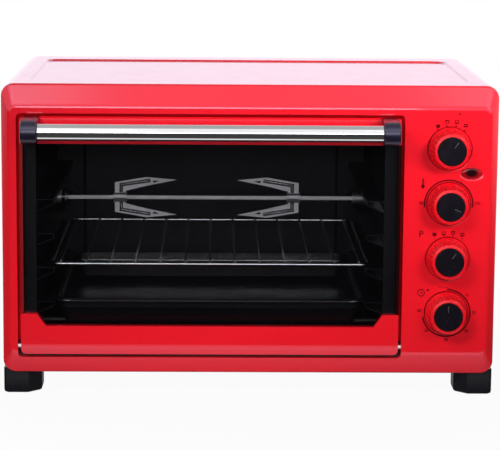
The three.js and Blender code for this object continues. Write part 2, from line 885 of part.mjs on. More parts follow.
function bakingTray() {
  const rimBottom = trayRimHeight - trayRimThickness;
  const stepTop = trayRimHeight - trayStepDrop;
  const step = trayRimWidth + trayStepWidth;
  const foot = step + trayDraft;
  return loft([
    trayRing(trayBottomHeight, foot + trayWall),
    trayRing(trayBottomHeight + trayWall, foot),
    trayRing(stepTop - trayWall, step),
    trayRing(stepTop - trayWall, trayRimWidth),
    trayRing(rimBottom, trayRimWidth),
    trayRing(rimBottom, 0),
    trayRing(trayRimHeight, 0),
    trayRing(trayRimHeight, trayRimWidth + trayWall),
    trayRing(stepTop, trayRimWidth + trayWall),
    trayRing(stepTop, step + trayWall),
    trayRing(trayBottomHeight + 2 * trayWall, foot + trayWall),
    trayRing(trayBottomHeight + trayWall, foot + 2 * trayWall),
  ]);
}

piece("baking_tray", bakingTray(), finish.blackEnamel, cavityGroup);

// Crumb tray on the floor, below the lower elements
const crumbSideGap = 6;
const crumbFrontGap = 10.7;
const crumbBackGap = 4;
const crumbHalf = cavityHalf - crumbSideGap;
const crumbFront = wallFront + crumbFrontGap;
const crumbBack = wallBack - crumbBackGap;
const crumbHeight = 6;
const crumbLean = 3;
const crumbPullHalf = 40;
const crumbPullDepth = 5;

function crumbRing(z, inset) {
  const plan = roundRect(
    -crumbHalf + inset,
    crumbHalf - inset,
    crumbFront + inset,
    crumbBack - inset,
    crumbLean * 2,
    slotSteps,
  );
  return levelAt(z, plan);
}

function crumbTray() {
  const floor = cavityBottom;
  const shell = loft([
    crumbRing(floor, crumbLean),
    crumbRing(floor + crumbHeight, 0),
    crumbRing(floor + crumbHeight, innerSheet),
    crumbRing(floor + innerSheet, crumbLean + innerSheet),
  ]);
  const pull = block(
    -crumbPullHalf,
    crumbPullHalf,
    crumbFront - crumbPullDepth,
    crumbFront + innerSheet / 2,
    floor + crumbHeight - innerSheet,
    floor + crumbHeight,
  );
  return shell.add(pull);
}

piece("crumb_tray", crumbTray(), finish.galvanised, cavityGroup);

// Rotisserie spit: a square rod between a slotted bearing on the left wall and a socket
// that the motor turns on the right
const spitRod = 5;
const bearingPlate = 13;
const bearingPlateThickness = 1.5;
const bearingCorner = 2.5;
const bearingReach = 15;
const bearingClearance = 0.3;
const bearingWall = -cavityHalf + seat;
const bearingSlotStart = bearingWall + bearingPlateThickness + seat;
const collarClearance = 3.7; // from the bearing to the collar
const collarRadius = 6;
const collarLength = 3;
const collarX = bearingWall + bearingReach + collarClearance + collarLength;
const stubRadius = 2.25;
const stubEndGap = 1.9;
const stubEnd = bearingSlotStart + stubEndGap;
const socketReach = 24; // of the socket into the cooking space
const socketStart = cavityHalf - socketReach;
const socketDepth = 12;
const socketTailRadius = 3;
const socketTailLength = 9;
const socketBoreClearance = 0.25;
const spitGroup = new THREE.Group();
spitGroup.position.set(0, spitDepth, spitHeight);
cavityGroup.add(spitGroup);

function squareSection(size) {
  const half = size / 2;
  return outline([half, half], [-half, half], [-half, -half], [half, -half]);
}

function spitRodSolid() {
  const rod = prism("x", squareSection(spitRod), collarX, socketStart + socketDepth - seat);
  const stub = turned(
    "x",
    [
      [0, stubEnd],
      [stubRadius, stubEnd],
      [stubRadius, collarX - collarLength],
      [collarRadius, collarX - collarLength],
      [collarRadius, collarX],
      [0, collarX],
    ],
    rodSides,
  );
  const overlap = prism("x", squareSection(spitRod), collarX - collarLength / 2, collarX + spitRod);
  return joined([rod, stub, overlap]);
}

function driveSocket() {
  const wallOuter = liner;
  const barrel = turned("x", [
    [0, socketStart],
    [socketRadius, socketStart],
    [socketRadius, wallOuter],
    [socketTailRadius, wallOuter],
    [socketTailRadius, wallOuter + socketTailLength],
    [0, wallOuter + socketTailLength],
  ], holeSides);
  const bore = prism(
    "x",
    squareSection(spitRod + 2 * socketBoreClearance),
    socketStart - overrun,
    socketStart + socketDepth,
  );
  return barrel.subtract(bore);
}

piece("spit_rod", spitRodSolid(), finish.steel, spitGroup);
piece("spit_drive_socket", driveSocket(), finish.steel, spitGroup);

// Left bearing: a boss on the wall with a slot that the stub lifts out of
function spitBearing() {
  const plate = prism(
    "x",
    roundRect(-bearingPlate, bearingPlate, -bearingRadius, bearingRadius, bearingCorner, slotSteps),
    bearingWall,
    bearingWall + bearingPlateThickness,
  );
  const boss = prism("x", circle(0, 0, bearingRadius, holeSides), bearingWall, bearingWall + bearingReach);
  const slotRadius = stubRadius + bearingClearance;
  const slotTo = bearingWall + bearingReach + overrun;
  const round = prism("x", circle(0, 0, slotRadius, holeSides), bearingSlotStart, slotTo);
  const mouth = block(bearingSlotStart, slotTo, -slotRadius, slotRadius, 0, bearingRadius + overrun);
  return without(plate.add(boss), [round, mouth]);
}

const bearing = piece("spit_bearing", spitBearing(), finish.steel, cavityGroup);
bearing.position.set(0, spitDepth, spitHeight);

// Meat forks: stamped steel with pressed grooves, each on a square-bored hub with a thumbscrew
const leftForkShare = 0.5579; // of the cooking space's half width, from its middle
const rightForkShare = 0.5105;
const forkThickness = 1.6;
const forkWeb = 12.2; // width of the cross plate
const forkHalf = 17.4; // half the height of the cross plate
const forkShoulder = [37, 23.8]; // where the prong's outer edge turns, along and out from the rod
const forkTip = [72, 20.6];
const forkThroat = [39, 13.9]; // where the prong's inner edge turns
const forkCrotch = 7.4;
const hubRadius = 5.7;
const hubLength = 15.4;
const hubFlangeRadius = 6.6;
const hubFlangeThickness = 1.2;
const hubOffset = 1.6; // how far the hub stands out behind the cross plate
const grooveWidth = 1.5;
const grooveDepth = 0.45;
const grooveLineShares = [0.41, 0.75, 0.95]; // across the web, from the hub, along the prong
const eyeAlongShares = [1.18, 1.42, 1.24]; // of the shoulder's distance
const eyeInShares = [0.33, 0.34, 0.57]; // of the web's width, in from the shoulder
const thumbShankRadius = 2;
const thumbShankLength = 5.2;
const thumbHeadRadius = 5;
const thumbHeadLength = 6;
const thumbEdge = 0.5;

function forkSolid() {
  const [shoulderX, shoulderZ] = forkShoulder;
  const [tipX, tipZ] = forkTip;
  const [throatX, throatZ] = forkThroat;
  const upper = [
    [0, forkHalf],
    [shoulderX, shoulderZ],
    [tipX, tipZ],
    [throatX, throatZ],
    [forkWeb, forkCrotch],
  ];
  const lower = upper.map(([x, z]) => [x, -z]).reverse();
  const cShape = outline(...upper.reverse(), ...lower.reverse());
  const plate = prism("y", cShape, -forkThickness / 2, forkThickness / 2);
  const hub = turned("x", [
    [0, -hubOffset],
    [hubFlangeRadius, -hubOffset],
    [hubFlangeRadius, -hubOffset + hubFlangeThickness],
    [hubRadius, -hubOffset + hubFlangeThickness],
    [hubRadius, -hubOffset + hubLength - hubFlangeThickness],
    [hubFlangeRadius, -hubOffset + hubLength - hubFlangeThickness],
    [hubFlangeRadius, -hubOffset + hubLength],
    [0, -hubOffset + hubLength],
  ], rodSides);
  const bore = prism(
    "x",
    squareSection(spitRod + 2 * socketBoreClearance),
    -hubOffset - overrun,
    hubLength,
  );
  const cuts = [bore];
  const [acrossShare, startShare, alongShare] = grooveLineShares;
  const grooveStart = ((forkHalf + hubFlangeRadius) / 2) * startShare;
  const grooveIn = forkWeb * acrossShare;
  for (const up of [1, -1]) {
    const line = outline(
      [grooveIn, up * grooveStart],
      [grooveIn, up * (forkHalf - grooveIn)],
      [shoulderX * alongShare, up * (shoulderZ - grooveIn)],
    );
    for (const face of [1, -1]) {
      const outer = (face * forkThickness) / 2;
      const inner = outer - face * grooveDepth;
      const from = Math.min(inner, outer + face * overrun);
      const to = Math.max(inner, outer + face * overrun);
      cuts.push(prism("y", band(line, grooveWidth), from, to));
    }
    const eye = outline(
      ...eyeAlongShares.map((share, i) => [
        shoulderX * share,
        up * (shoulderZ - forkWeb * eyeInShares[i]),
      ]),
    );
    cuts.push(prism("y", eye, -forkThickness, forkThickness));
  }
  const screwHole = prism(
    "y",
    circle(forkWeb / 2, 0, thumbShankRadius + seat, rodSides),
    0,
    hubFlangeRadius + overrun,
  );
  cuts.push(screwHole);
  return without(plate.add(hub), cuts);
}

function thumbScrew() {
  const start = spitRod / 2 + seat;
  const head = start + thumbShankLength;
  return turned(
    "y",
    [
      [0, start],
      [thumbShankRadius, start],
      [thumbShankRadius, head],
      [thumbHeadRadius - thumbEdge, head],
      [thumbHeadRadius, head + thumbEdge],
      [thumbHeadRadius, head + thumbHeadLength - thumbEdge],
      [thumbHeadRadius - thumbEdge, head + thumbHeadLength],
      [0, head + thumbHeadLength],
    ],
    rodSides,
  );
}

const forkGeometry = geometryOf(forkSolid());
const thumbGeometry = geometryOf(thumbScrew());
const forks = [
  ["left", -cavityHalf * leftForkShare - forkWeb / 2, 1],
  ["right", cavityHalf * rightForkShare + forkWeb / 2, -1],
];
for (const [side, x, towards] of forks) {
  const group = new THREE.Group();
  group.position.x = x;
  group.scale.x = towards;
  spitGroup.add(group);
  const fork = new THREE.Mesh(forkGeometry, finish.steel);
  fork.name = `spit_fork_${side}`;
  const screw = new THREE.Mesh(thumbGeometry, finish.steel);
  screw.name = `fork_thumbscrew_${side}`;
  screw.position.x = forkWeb / 2;
  group.add(fork, screw);
}

// Rotisserie motor on the outside of the right wall
const motorRadius = 25;
const motorLength = 20;
const motorEarHalf = 33;
const motorEarThickness = 1.5;
const motorBoreClearance = 0.4;
const gearBossDrop = 12;
const gearBossRadius = 8;
const gearBossHeight = 5;

function rotisserieMotor() {
  const start = liner + seat;
  const can = prism("x", circle(0, 0, motorRadius, holeSides), start, start + motorLength);
  const ears = prism(
    "x",
    roundRect(-motorEarHalf, motorEarHalf, -bearingRadius, bearingRadius, bearingRadius / 2, trimSteps),
    start,
    start + motorEarThickness,
  );
  const boss = prism(
    "x",
    circle(0, -gearBossDrop, gearBossRadius, holeSides),
    start + motorLength - overrun,
    start + motorLength + gearBossHeight,
  );
  const bore = prism(
    "x",
    circle(0, 0, socketTailRadius + motorBoreClearance, holeSides),
    start - overrun,
    start + socketTailLength + overrun,
  );
  return joined([can, ears, boss]).subtract(bore);
}

const motor = piece("rotisserie_motor", rotisserieMotor(), finish.galvanised, cavityGroup);
motor.position.set(0, spitDepth, spitHeight);

// Door: glass held by an upper and a lower rail and two edge strips
const doorBackGap = 2; // from the closed door to the cooking space's front flange
const railDepth = flangeFront - doorBackGap;
const glassFront = 2;
const glassThickness = 4;
const glassClearance = 0.3;
const lowerRailHeight = 32;
const railCornerRise = 13.5; // of the rail's raised corners above its middle
const railCornerWidth = 17.6;
const railSlopeWidth = 9.6;
const railBevelHeight = 9.3;
const railBevelDepth = 3;
const upperRailHeight = 29.6;
const upperRailBevel = 2.5;
const glassBite = 14; // how far the glass runs into a rail
const stripFace = 3.4; // how much of an edge strip shows
const stripWall = 1.1;
const railWall = 1.2;
const pinBossRadius = 5;
const lowerRailTop = doorBottom + lowerRailHeight;
const railCornerTop = lowerRailTop + railCornerRise;
const railBevelTop = doorBottom + railBevelHeight;
const upperRailBottom = doorTop - upperRailHeight;
const halfDoor = doorWidth / 2;
const glassBack = glassFront + glassThickness;
const glassHalf = halfDoor - stripWall - glassClearance;

function glassSlot(bottom, top) {
  return block(
    -glassHalf - glassClearance,
    glassHalf + glassClearance,
    glassFront - glassClearance,
    glassBack + glassClearance,
    bottom,
    top,
  );
}

piece(
  "door_glass",
  block(-glassHalf, glassHalf, glassFront, glassBack, lowerRailTop - glassBite, upperRailBottom + glassBite),
  finish.glass,
  doorGroup,
);

// Lower rail with raised corners; its lower back edge is round about the hinge axis
const pinSocketDepth = 9;
const railBackSteps = 6;

function lowerRail() {
  const cornerIn = halfDoor - railCornerWidth;
  const slopeIn = cornerIn - railSlopeWidth;
  const whole = roundRect(-halfDoor, halfDoor, doorBottom, railCornerTop, doorCornerRadius, trimSteps);
  const lower = whole.slice(2 * (trimSteps + 1));
  const face = [
    ...lower,
    new THREE.Vector2(halfDoor, railCornerTop),
    new THREE.Vector2(cornerIn, railCornerTop),
    new THREE.Vector2(slopeIn, lowerRailTop),
    new THREE.Vector2(-slopeIn, lowerRailTop),
    new THREE.Vector2(-cornerIn, railCornerTop),
    new THREE.Vector2(-halfDoor, railCornerTop),
  ];
  const backRadius = railDepth - hingeDepth;
  const side = [
    [0, railCornerTop + overrun],
    [0, railBevelTop],
    [railBevelDepth, doorBottom],
    [hingeDepth, hingeHeight - backRadius - seat],
  ];
  for (let i = 0; i <= railBackSteps; i++) {
    const angle = (-0.5 + (0.5 * i) / railBackSteps) * Math.PI;
    side.push([hingeDepth + backRadius * Math.cos(angle), hingeHeight + backRadius * Math.sin(angle)]);
  }
  side.push([railDepth, railCornerTop + overrun]);
  const front = prism("y", face, 0, railDepth);
  const section = prism("x", outline(...side), -halfDoor, halfDoor);
  const slot = glassSlot(lowerRailTop - glassBite - glassClearance, railCornerTop + overrun);
  const hollow = block(
    -halfDoor + railWall,
    halfDoor - railWall,
    railBevelDepth + railWall,
    railDepth - railWall,
    hingeHeight,
    lowerRailTop - railWall,
  );
  const bossReach = pinSocketDepth + railWall;
  const boss = circle(hingeDepth, hingeHeight, pinBossRadius, holeSides);
  const bosses = [
    prism("x", boss, -halfDoor, -halfDoor + bossReach),
    prism("x", boss, halfDoor - bossReach, halfDoor),
  ];
  const pinBore = circle(hingeDepth, hingeHeight, hingePinRadius + seat, holeSides);
  const pinBores = [
    prism("x", pinBore, -halfDoor - overrun, -halfDoor + pinSocketDepth),
    prism("x", pinBore, halfDoor - pinSocketDepth, halfDoor + overrun),
  ];
  const folded = without(front.intersect(section), [without(hollow, bosses), slot]);
  return without(folded, pinBores);
}

piece("door_lower_rail", lowerRail(), finish.redEnamel, doorGroup);

function upperRail() {
  const whole = roundRect(-halfDoor, halfDoor, upperRailBottom, doorTop, doorCornerRadius, trimSteps);
  const face = [
    ...whole.slice(0, 2 * (trimSteps + 1)),
    new THREE.Vector2(-halfDoor, upperRailBottom),
    new THREE.Vector2(halfDoor, upperRailBottom),
  ];
  const side = outline(
    [0, upperRailBottom],
    [railDepth, upperRailBottom],
    [railDepth, doorTop],
    [upperRailBevel, doorTop],
    [0, doorTop - upperRailBevel],
  );
  const front = prism("y", face, 0, railDepth);
  const section = prism("x", side, -halfDoor, halfDoor);
  const slot = glassSlot(upperRailBottom - overrun, upperRailBottom + glassBite + glassClearance);
  const hollow = block(
    -halfDoor + doorCornerRadius,
    halfDoor - doorCornerRadius,
    railWall,
    railDepth - railWall,
    upperRailBottom + railWall,
    doorTop - upperRailBevel - railWall,
  );
  return without(front.intersect(section), [slot, hollow]);
}

piece("door_upper_rail", upperRail(), finish.redEnamel, doorGroup);

// Edge strips: folded channels over the glass between the rails
function edgeStrip() {
  const front = glassFront - glassClearance - stripWall;
  const back = glassBack + glassClearance + stripWall;
  const bottom = railCornerTop + seat;
  const top = upperRailBottom - seat;
  const channel = block(-halfDoor, -halfDoor + stripFace, front, back, bottom, top);
  return channel.subtract(
    block(
      -halfDoor + stripWall,
      halfDoor,
      glassFront - glassClearance,
      glassBack + glassClearance,
      bottom - overrun,
      top + overrun,
    ),
  );
}

const stripGeometry = geometryOf(edgeStrip());
for (const [side, mirror] of [["left", 1], ["right", -1]]) {
  const strip = new THREE.Mesh(stripGeometry, finish.redEnamel);
  strip.name = `door_edge_strip_${side}`;
  strip.scale.x = mirror;
  doorGroup.add(strip);
}

// Handle: a chrome tube between two rounded brackets
const barRadius = 9.1;
const barWall = 1;
const bracketHeight = 26;
const bracketWidth = 17.6;
const bracketInset = 5;
const handleReach = 50; // of the bracket's nose in front of the door
const handleDrop = 12.5; // of the bar's axis below the door's upper edge
const handleHeight = doorTop - handleDrop;
const spigotLength = 12;
const noseSteps = 10;
const bracketEdge = 1.5;
const bracketOuter = halfDoor - bracketInset;
const bracketInner = bracketOuter - bracketWidth;
const barDepth = -handleReach + bracketHeight / 2;

function bracketSection(shrink) {
  const half = bracketHeight / 2 - shrink;
  const points = outline([-seat, handleHeight + half], [barDepth, handleHeight + half]);
  for (let i = 1; i < noseSteps; i++) {
    const angle = (0.5 + i / noseSteps) * Math.PI;
    const nose = [barDepth + half * Math.cos(angle), handleHeight + half * Math.sin(angle)];
    points.push(...outline(nose));
  }
  points.push(...outline([barDepth, handleHeight - half], [-seat, handleHeight - half]));
  return points;
}

function handleBracket() {
  const across = (x, shrink) => bracketSection(shrink).map((p) => new THREE.Vector3(x, p.x, p.y));
  const body = loft([
    across(-bracketOuter, bracketEdge),
    across(-bracketOuter + bracketEdge, 0),
    across(-bracketInner, 0),
  ]);
  const spigot = prism(
    "x",
    circle(barDepth, handleHeight, barRadius - barWall - seat, holeSides),
    -bracketInner - overrun,
    -bracketInner + spigotLength,
  );
  return body.add(spigot);
}

const bracketGeometry = geometryOf(handleBracket());
for (const [side, mirror] of [["left", 1], ["right", -1]]) {
  const bracket = new THREE.Mesh(bracketGeometry, finish.satinBlack);
  bracket.name = `handle_bracket_${side}`;
  bracket.scale.x = mirror;
  doorGroup.add(bracket);
}

function handleBar() {
  const end = bracketInner - seat;
  return prism("x", circle(barDepth, handleHeight, barRadius, turnedSides), -end, end, [
    circle(barDepth, handleHeight, barRadius - barWall, turnedSides),
  ]);
}

piece("handle_bar", handleBar(), finish.chrome, doorGroup);

// Hinge pins, fixed in the lower rail and turning in the frame's return wall
const pinEnd = openingHalf + frameWall;

function hingePin() {
  return prism(
    "x",
    circle(hingeDepth, hingeHeight, hingePinRadius, rodSides),
    -pinEnd,
    -halfDoor + pinSocketDepth - seat,
  );
}

const pinGeometry = geometryOf(hingePin());
for (const [side, mirror] of [["left", 1], ["right", -1]]) {
  const pin = new THREE.Mesh(pinGeometry, finish.steel);
  pin.name = `hinge_pin_${side}`;
  pin.scale.x = mirror;
  doorGroup.add(pin);
}

// Knobs: a fluted grip on a round skirt, a black cap pressed into the front and a shaft behind
const knobSkirtRadius = 23.5;
const knobSkirt = 2;
const knobStandoff = 0.6; // clearance from the panel
const knobReach = 24; // of the cap's face in front of the panel
const knobShoulderRadius = 21.8;
const gripBackRadius = 21.2;
const gripFrontRadius = 19.6;
const gripRimRadius = 17.4;
const fluteCount = 20;
const fluteDepth = 1;
const fluteSteps = 2;
const capRadius = 15.6;
const capThickness = 2.2;
const capCrown = 0.4;
const capSides = 24;
const shaftIntoKnob = 15;
const shaftIntoSwitch = 12;
const shaftFlatShare = 0.6; // of the shaft's radius
const knobHubRadius = 6;
const knobHollowRadius = 17;
const knobHollowDepth = 17; // from the panel

function knobRing(y, radius, depth) {
  const ring = [];
  const count = fluteCount * fluteSteps;
  for (let i = 0; i < count; i++) {
    const angle = (i / count) * 2 * Math.PI;
    const dip = (depth * (1 - Math.cos(fluteCount * angle))) / 2;
    ring.push(new THREE.Vector3((radius - dip) * Math.sin(angle), y, (radius - dip) * Math.cos(angle)));
  }
  return ring;
}

function knobSolid() {
  const back = -knobStandoff;
  const skirtFront = back - knobSkirt;
  const gripFront = -knobReach + knobSkirt / 2;
  const grip = loft([
    knobRing(back, knobSkirtRadius, 0),
    knobRing(skirtFront, knobSkirtRadius - seat, 0),
    knobRing(skirtFront - knobSkirt / 2, knobShoulderRadius, 0),
    knobRing(skirtFront - knobSkirt * 2, gripBackRadius, fluteDepth / 2),
    knobRing(gripFront, gripFrontRadius, fluteDepth),
    knobRing(-knobReach, gripRimRadius, 0),
  ]);
  const recess = prism(
    "y",
    circle(0, 0, capRadius + seat, turnedSides),
    -knobReach - overrun,
    -knobReach + capThickness,
  );
  const bore = prism("y", circle(0, 0, shaftRadius + seat, rodSides), -shaftIntoKnob - seat, 0);
  const hollow = prism("y", circle(0, 0, knobHollowRadius, holeSides), -knobHollowDepth, 0, [
    circle(0, 0, knobHubRadius, rodSides),
  ]);
  return without(grip, [recess, bore, hollow]);
}

function knobCap() {
  const back = -knobReach + capThickness - seat;
  return turned(
    "y",
    [
      [0, back],
      [capRadius, back],
      [capRadius, -knobReach + capCrown],
      [capRadius - capCrown, -knobReach],
      [0, -knobReach],
    ],
    capSides,
  );
}

function knobShaft() {
  const round = prism("y", circle(0, 0, shaftRadius, rodSides), -shaftIntoKnob, shaftIntoSwitch);
  const flat = block(
    -shaftRadius,
    shaftRadius,
    -shaftIntoKnob - overrun,
    -shaftIntoKnob / 2,
    shaftRadius * shaftFlatShare,
    shaftRadius + overrun,
  );
  return round.subtract(flat);
}

const knobGeometry = geometryOf(knobSolid());
const capGeometry = geometryOf(knobCap());
const shaftGeometry = geometryOf(knobShaft());
const knobNames = ["heating", "temperature", "programme", "timer"];
knobNames.forEach((name, i) => {
  const group = new THREE.Group();
  group.position.set(knobX, 0, knobHeights[i]);
  oven.add(group);
  const knob = new THREE.Mesh(knobGeometry, finish.redPlastic);
  knob.name = `${name}_knob`;
  const cap = new THREE.Mesh(capGeometry, finish.blackPlastic);
  cap.name = `${name}_knob_cap`;
  const shaft = new THREE.Mesh(shaftGeometry, finish.steel);
  shaft.name = `${name}_shaft`;
  group.add(knob, cap, shaft);
});

// Switches behind the panel, each with a bush through it: half width, half height and depth
const switchFront = frameWall + seat;
const switchSizes = {
  heating_switch: [17, 16, 24],
  thermostat: [22, 15, 30],
  programme_switch: [17, 16, 24],
  timer_movement: [25, 24, 36],
};
const switchRound = 3;
const switchTab = 3;

function switchSolid([halfWidth, halfHeight, depth]) {
  const back = switchFront + depth;
  const body = prism(
    "y",
    roundRect(-halfWidth, halfWidth, -halfHeight, halfHeight, switchRound, 2),
    switchFront,
    back,
  );
  const bush = prism("y", circle(0, 0, bushRadius, holeSides), seat, switchFront + overrun);
  const tabs = [-1, 0, 1].map((i) => {
    const x = (i * halfWidth) / 2;
    return block(x - switchTab, x + switchTab, back - overrun, back + 2 * switchTab, -seat, seat);
  });
  const bore = prism(
    "y",
    circle(0, 0, shaftRadius + seat, rodSides),
    -overrun,
    shaftIntoSwitch + seat,
  );
  return joined([body, bush, ...tabs]).subtract(bore);
}

Object.entries(switchSizes).forEach(([name, size], i) => {
  piece(name, switchSolid(size), finish.paleMoulding, oven).position.set(knobX, 0, knobHeights[i]);
});

// Pilot lamp: a domed window clipped in from behind and a small lamp against it
const lensRecess = 0.8;
const lensRim = 1.8;
const lensRimThickness = 1.5;
const lampRadius = 4.5;
const lampRounding = 1.2;
const lampLength = 18;

function pilotLens() {
  const inner = (grow) =>
    oval(0, 0, lampHalfWidth - seat + grow, lampHalfHeight - seat + grow, turnedSides);
  const window = prism("y", inner(0), lensRecess, frameWall + lensRimThickness);
  const rim = prism("y", inner(lensRim), frameWall + seat, frameWall + seat + lensRimThickness);
  return window.add(rim);
}

function pilotLamp() {
  const start = frameWall + 2 * seat + lensRimThickness;
  return turned(
    "y",
    [
      [0, start],
      [lampRadius - lampRounding, start],
      [lampRadius, start + lampRounding],
      [lampRadius, start + lampLength],
      [0, start + lampLength],
    ],
    rodSides,
  );
}

piece("pilot_lens", pilotLens(), finish.lampRed, oven).position.set(lampX, 0, lampZ);
piece("pilot_lamp", pilotLamp(), finish.paleMoulding, oven).position.set(lampX, 0, lampZ);

// Terminal block on the base plate behind the gland
const blockHalfWidth = 20;
const blockDepth = 18;
const blockHeight = 14;
const blockSetback = 34; // from the rear panel
const blockWays = 3;
const blockScrewRadius = 2.5;

function terminalBlock() {
  const bottom = baseBottom + sheet + seat;
  const back = bodyDepth - blockSetback;
  const body = block(-blockHalfWidth, blockHalfWidth, back - blockDepth, back, bottom, bottom + blockHeight);
  const wells = Array.from({ length: blockWays }, (_, i) => {
    const x = ((i - (blockWays - 1) / 2) * 2 * blockHalfWidth) / blockWays;
    return prism(
      "z",
      circle(x, back - blockDepth / 2, blockScrewRadius, rodSides),
      bottom + blockHeight / 2,
      bottom + blockHeight + overrun,
    );
  });
  return without(body, wells);
}

piece("terminal_block", terminalBlock(), finish.paleMoulding, oven).position.x = glandX;

// The origin lies under the middle of everything from the handle's nose to the gland's end.
const rearmost = rearFace + seat + glandNoseLength;
oven.position.y = (handleReach - rearmost) / 2;

export default oven;
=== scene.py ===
import json
import math
import bmesh
import bpy
from mathutils import Matrix, Vector


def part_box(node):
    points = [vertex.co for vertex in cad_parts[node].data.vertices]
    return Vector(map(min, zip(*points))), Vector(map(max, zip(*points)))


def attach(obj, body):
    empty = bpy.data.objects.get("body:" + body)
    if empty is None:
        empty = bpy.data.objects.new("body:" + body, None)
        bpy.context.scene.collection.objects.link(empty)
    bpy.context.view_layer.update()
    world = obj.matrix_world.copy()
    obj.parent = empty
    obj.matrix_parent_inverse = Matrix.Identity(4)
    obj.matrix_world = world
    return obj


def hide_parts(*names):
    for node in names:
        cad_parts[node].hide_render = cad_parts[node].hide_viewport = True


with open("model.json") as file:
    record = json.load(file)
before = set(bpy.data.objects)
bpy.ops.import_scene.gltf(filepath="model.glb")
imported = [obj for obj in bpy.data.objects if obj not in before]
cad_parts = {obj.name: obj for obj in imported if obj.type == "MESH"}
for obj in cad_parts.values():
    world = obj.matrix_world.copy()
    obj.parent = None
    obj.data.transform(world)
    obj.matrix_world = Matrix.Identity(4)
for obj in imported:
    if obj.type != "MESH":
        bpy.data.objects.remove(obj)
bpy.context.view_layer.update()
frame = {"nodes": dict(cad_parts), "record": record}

bodyOf = {node: body for body, nodes in frame["record"]["behaviour"]["bodies"].items() for node in nodes}
slotOf = {part["node"]: part["material_slot"] for part in frame["record"]["subparts"]}

# Sizes here are millimetres. Depths count from the flat front face, positive towards the back.
mm = 0.001
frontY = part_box("front_frame")[0].y
welds = {"made": 0.002, "node": 0.005, "bevel": 0.001}  # how near points are merged


def at(x, y, z):
    return Vector((x * mm, frontY + y * mm, z * mm))


def span(node):  # a node's box in the same millimetres
    low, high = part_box(node)
    shift = Vector((0, frontY, 0))
    return (low - shift) / mm, (high - shift) / mm


# Camera at the photograph's place, in millimetres and degrees

cameraPlace = {"x": -40.57, "y": -2293.14, "z": 571.22, "pitch": 9.393, "yaw": 1.022, "roll": 0.45}
photoFrame = {"width": 500, "focal": 2136.87, "sensor": 36, "clip": 100}  # pixels, pixels, mm, metres


def makeCamera():
    pitch, yaw, roll = (math.radians(cameraPlace[key]) for key in ("pitch", "yaw", "roll"))
    ahead = Vector((math.sin(yaw) * math.cos(pitch), math.cos(yaw) * math.cos(pitch), -math.sin(pitch)))
    level = Vector((math.cos(yaw), -math.sin(yaw), 0))
    upright = level.cross(ahead)
    right = math.cos(roll) * level + math.sin(roll) * upright
    up = math.cos(roll) * upright - math.sin(roll) * level
    bpy.ops.object.camera_add()
    camera = bpy.context.object
    turn = Matrix((right, up, -ahead)).transposed()
    place = at(cameraPlace["x"], cameraPlace["y"], cameraPlace["z"])
    camera.matrix_world = Matrix.Translation(place) @ turn.to_4x4()
    camera.data.sensor_width = photoFrame["sensor"]
    camera.data.lens = photoFrame["focal"] / photoFrame["width"] * photoFrame["sensor"]
    camera.data.clip_end = photoFrame["clip"]
    bpy.context.scene.camera = camera


makeCamera()
print("camera placed")


# Work with one piece at a time

def leave():
    if bpy.context.mode != "OBJECT":
        bpy.ops.object.mode_set(mode="OBJECT")
    bpy.ops.object.select_all(action="DESELECT")


def take(*pieces):
    leave()
    for piece in pieces:
        piece.select_set(True)
    bpy.context.view_layer.objects.active = pieces[0]


def settle(piece):  # its place goes into its mesh
    take(piece)
    bpy.ops.object.transform_apply(location=True, rotation=True, scale=True)


def edit(piece, kind="verts", test=lambda item: True):  # edit mode, with what passes the test selected
    take(piece)
    bpy.ops.object.mode_set(mode="EDIT")
    bpy.ops.mesh.select_mode(type={"verts": "VERT", "edges": "EDGE", "faces": "FACE"}[kind])
    bpy.ops.mesh.select_all(action="DESELECT")
    shape = bmesh.from_edit_mesh(piece.data)
    for item in getattr(shape, kind):
        if test(item):
            item.select_set(True)
    shape.select_flush_mode()
    bmesh.update_edit_mesh(piece.data)


def weld(kind):
    bpy.ops.mesh.remove_doubles(threshold=welds[kind] * mm)


def spin(steps, angle, middle, axis):
    bpy.ops.mesh.spin(steps=steps, angle=angle, center=middle, axis=axis)
    bpy.ops.mesh.select_all(action="SELECT")
    weld("made")


def outwards():
    bpy.ops.mesh.select_all(action="SELECT")
    bpy.ops.mesh.normals_make_consistent(inside=False)
    leave()


def copied(name, model, shift=(0, 0, 0)):  # with a mesh of its own
    piece = bpy.data.objects.new(name, model.data.copy())
    bpy.context.scene.collection.objects.link(piece)
    piece.location = Vector(shift) * mm
    settle(piece)
    return piece


def modify(piece, kind, **settings):
    take(piece)
    bpy.ops.object.modifier_add(type=kind)
    modifier = piece.modifiers[-1]
    for key, value in settings.items():
        setattr(modifier, key, value)
    bpy.ops.object.modifier_apply(modifier=modifier.name)


def cut(piece, *cutters, operation="DIFFERENCE"):
    for cutter in cutters:
        modify(piece, "BOOLEAN", operation=operation, solver="EXACT", object=cutter)
        bpy.data.objects.remove(cutter)


def joined(*pieces):
    take(*pieces)
    bpy.ops.object.join()
    return pieces[0]


def soften(piece, width, segments, sharp=30):  # rounds its edges and smooths it
    modify(
        piece,
        "BEVEL",
        width=width * mm,
        segments=segments,
        limit_method="ANGLE",
        angle_limit=math.radians(sharp),
        miter_outer="MITER_ARC",
    )
    return smooth(piece)


def smooth(piece, angle=45):
    edit(piece)
    weld("bevel")  # bevels that meet leave faces without area
    take(piece)
    bpy.ops.object.shade_smooth_by_angle(angle=math.radians(angle))
    modify(piece, "WEIGHTED_NORMAL", keep_sharp=True, weight=80)
    return piece


def threeOf(axis, across, along):  # a place along the axis put with the two across it
    values = list(across)
    values.insert("xyz".index(axis), along)
    return values


def block(name, low, high):
    leave()
    lowest, highest = at(*low), at(*high)
    bpy.ops.mesh.primitive_cube_add(size=1, location=(lowest + highest) / 2)
    piece = bpy.context.object
    piece.name = name
    piece.scale = highest - lowest
    settle(piece)
    return piece


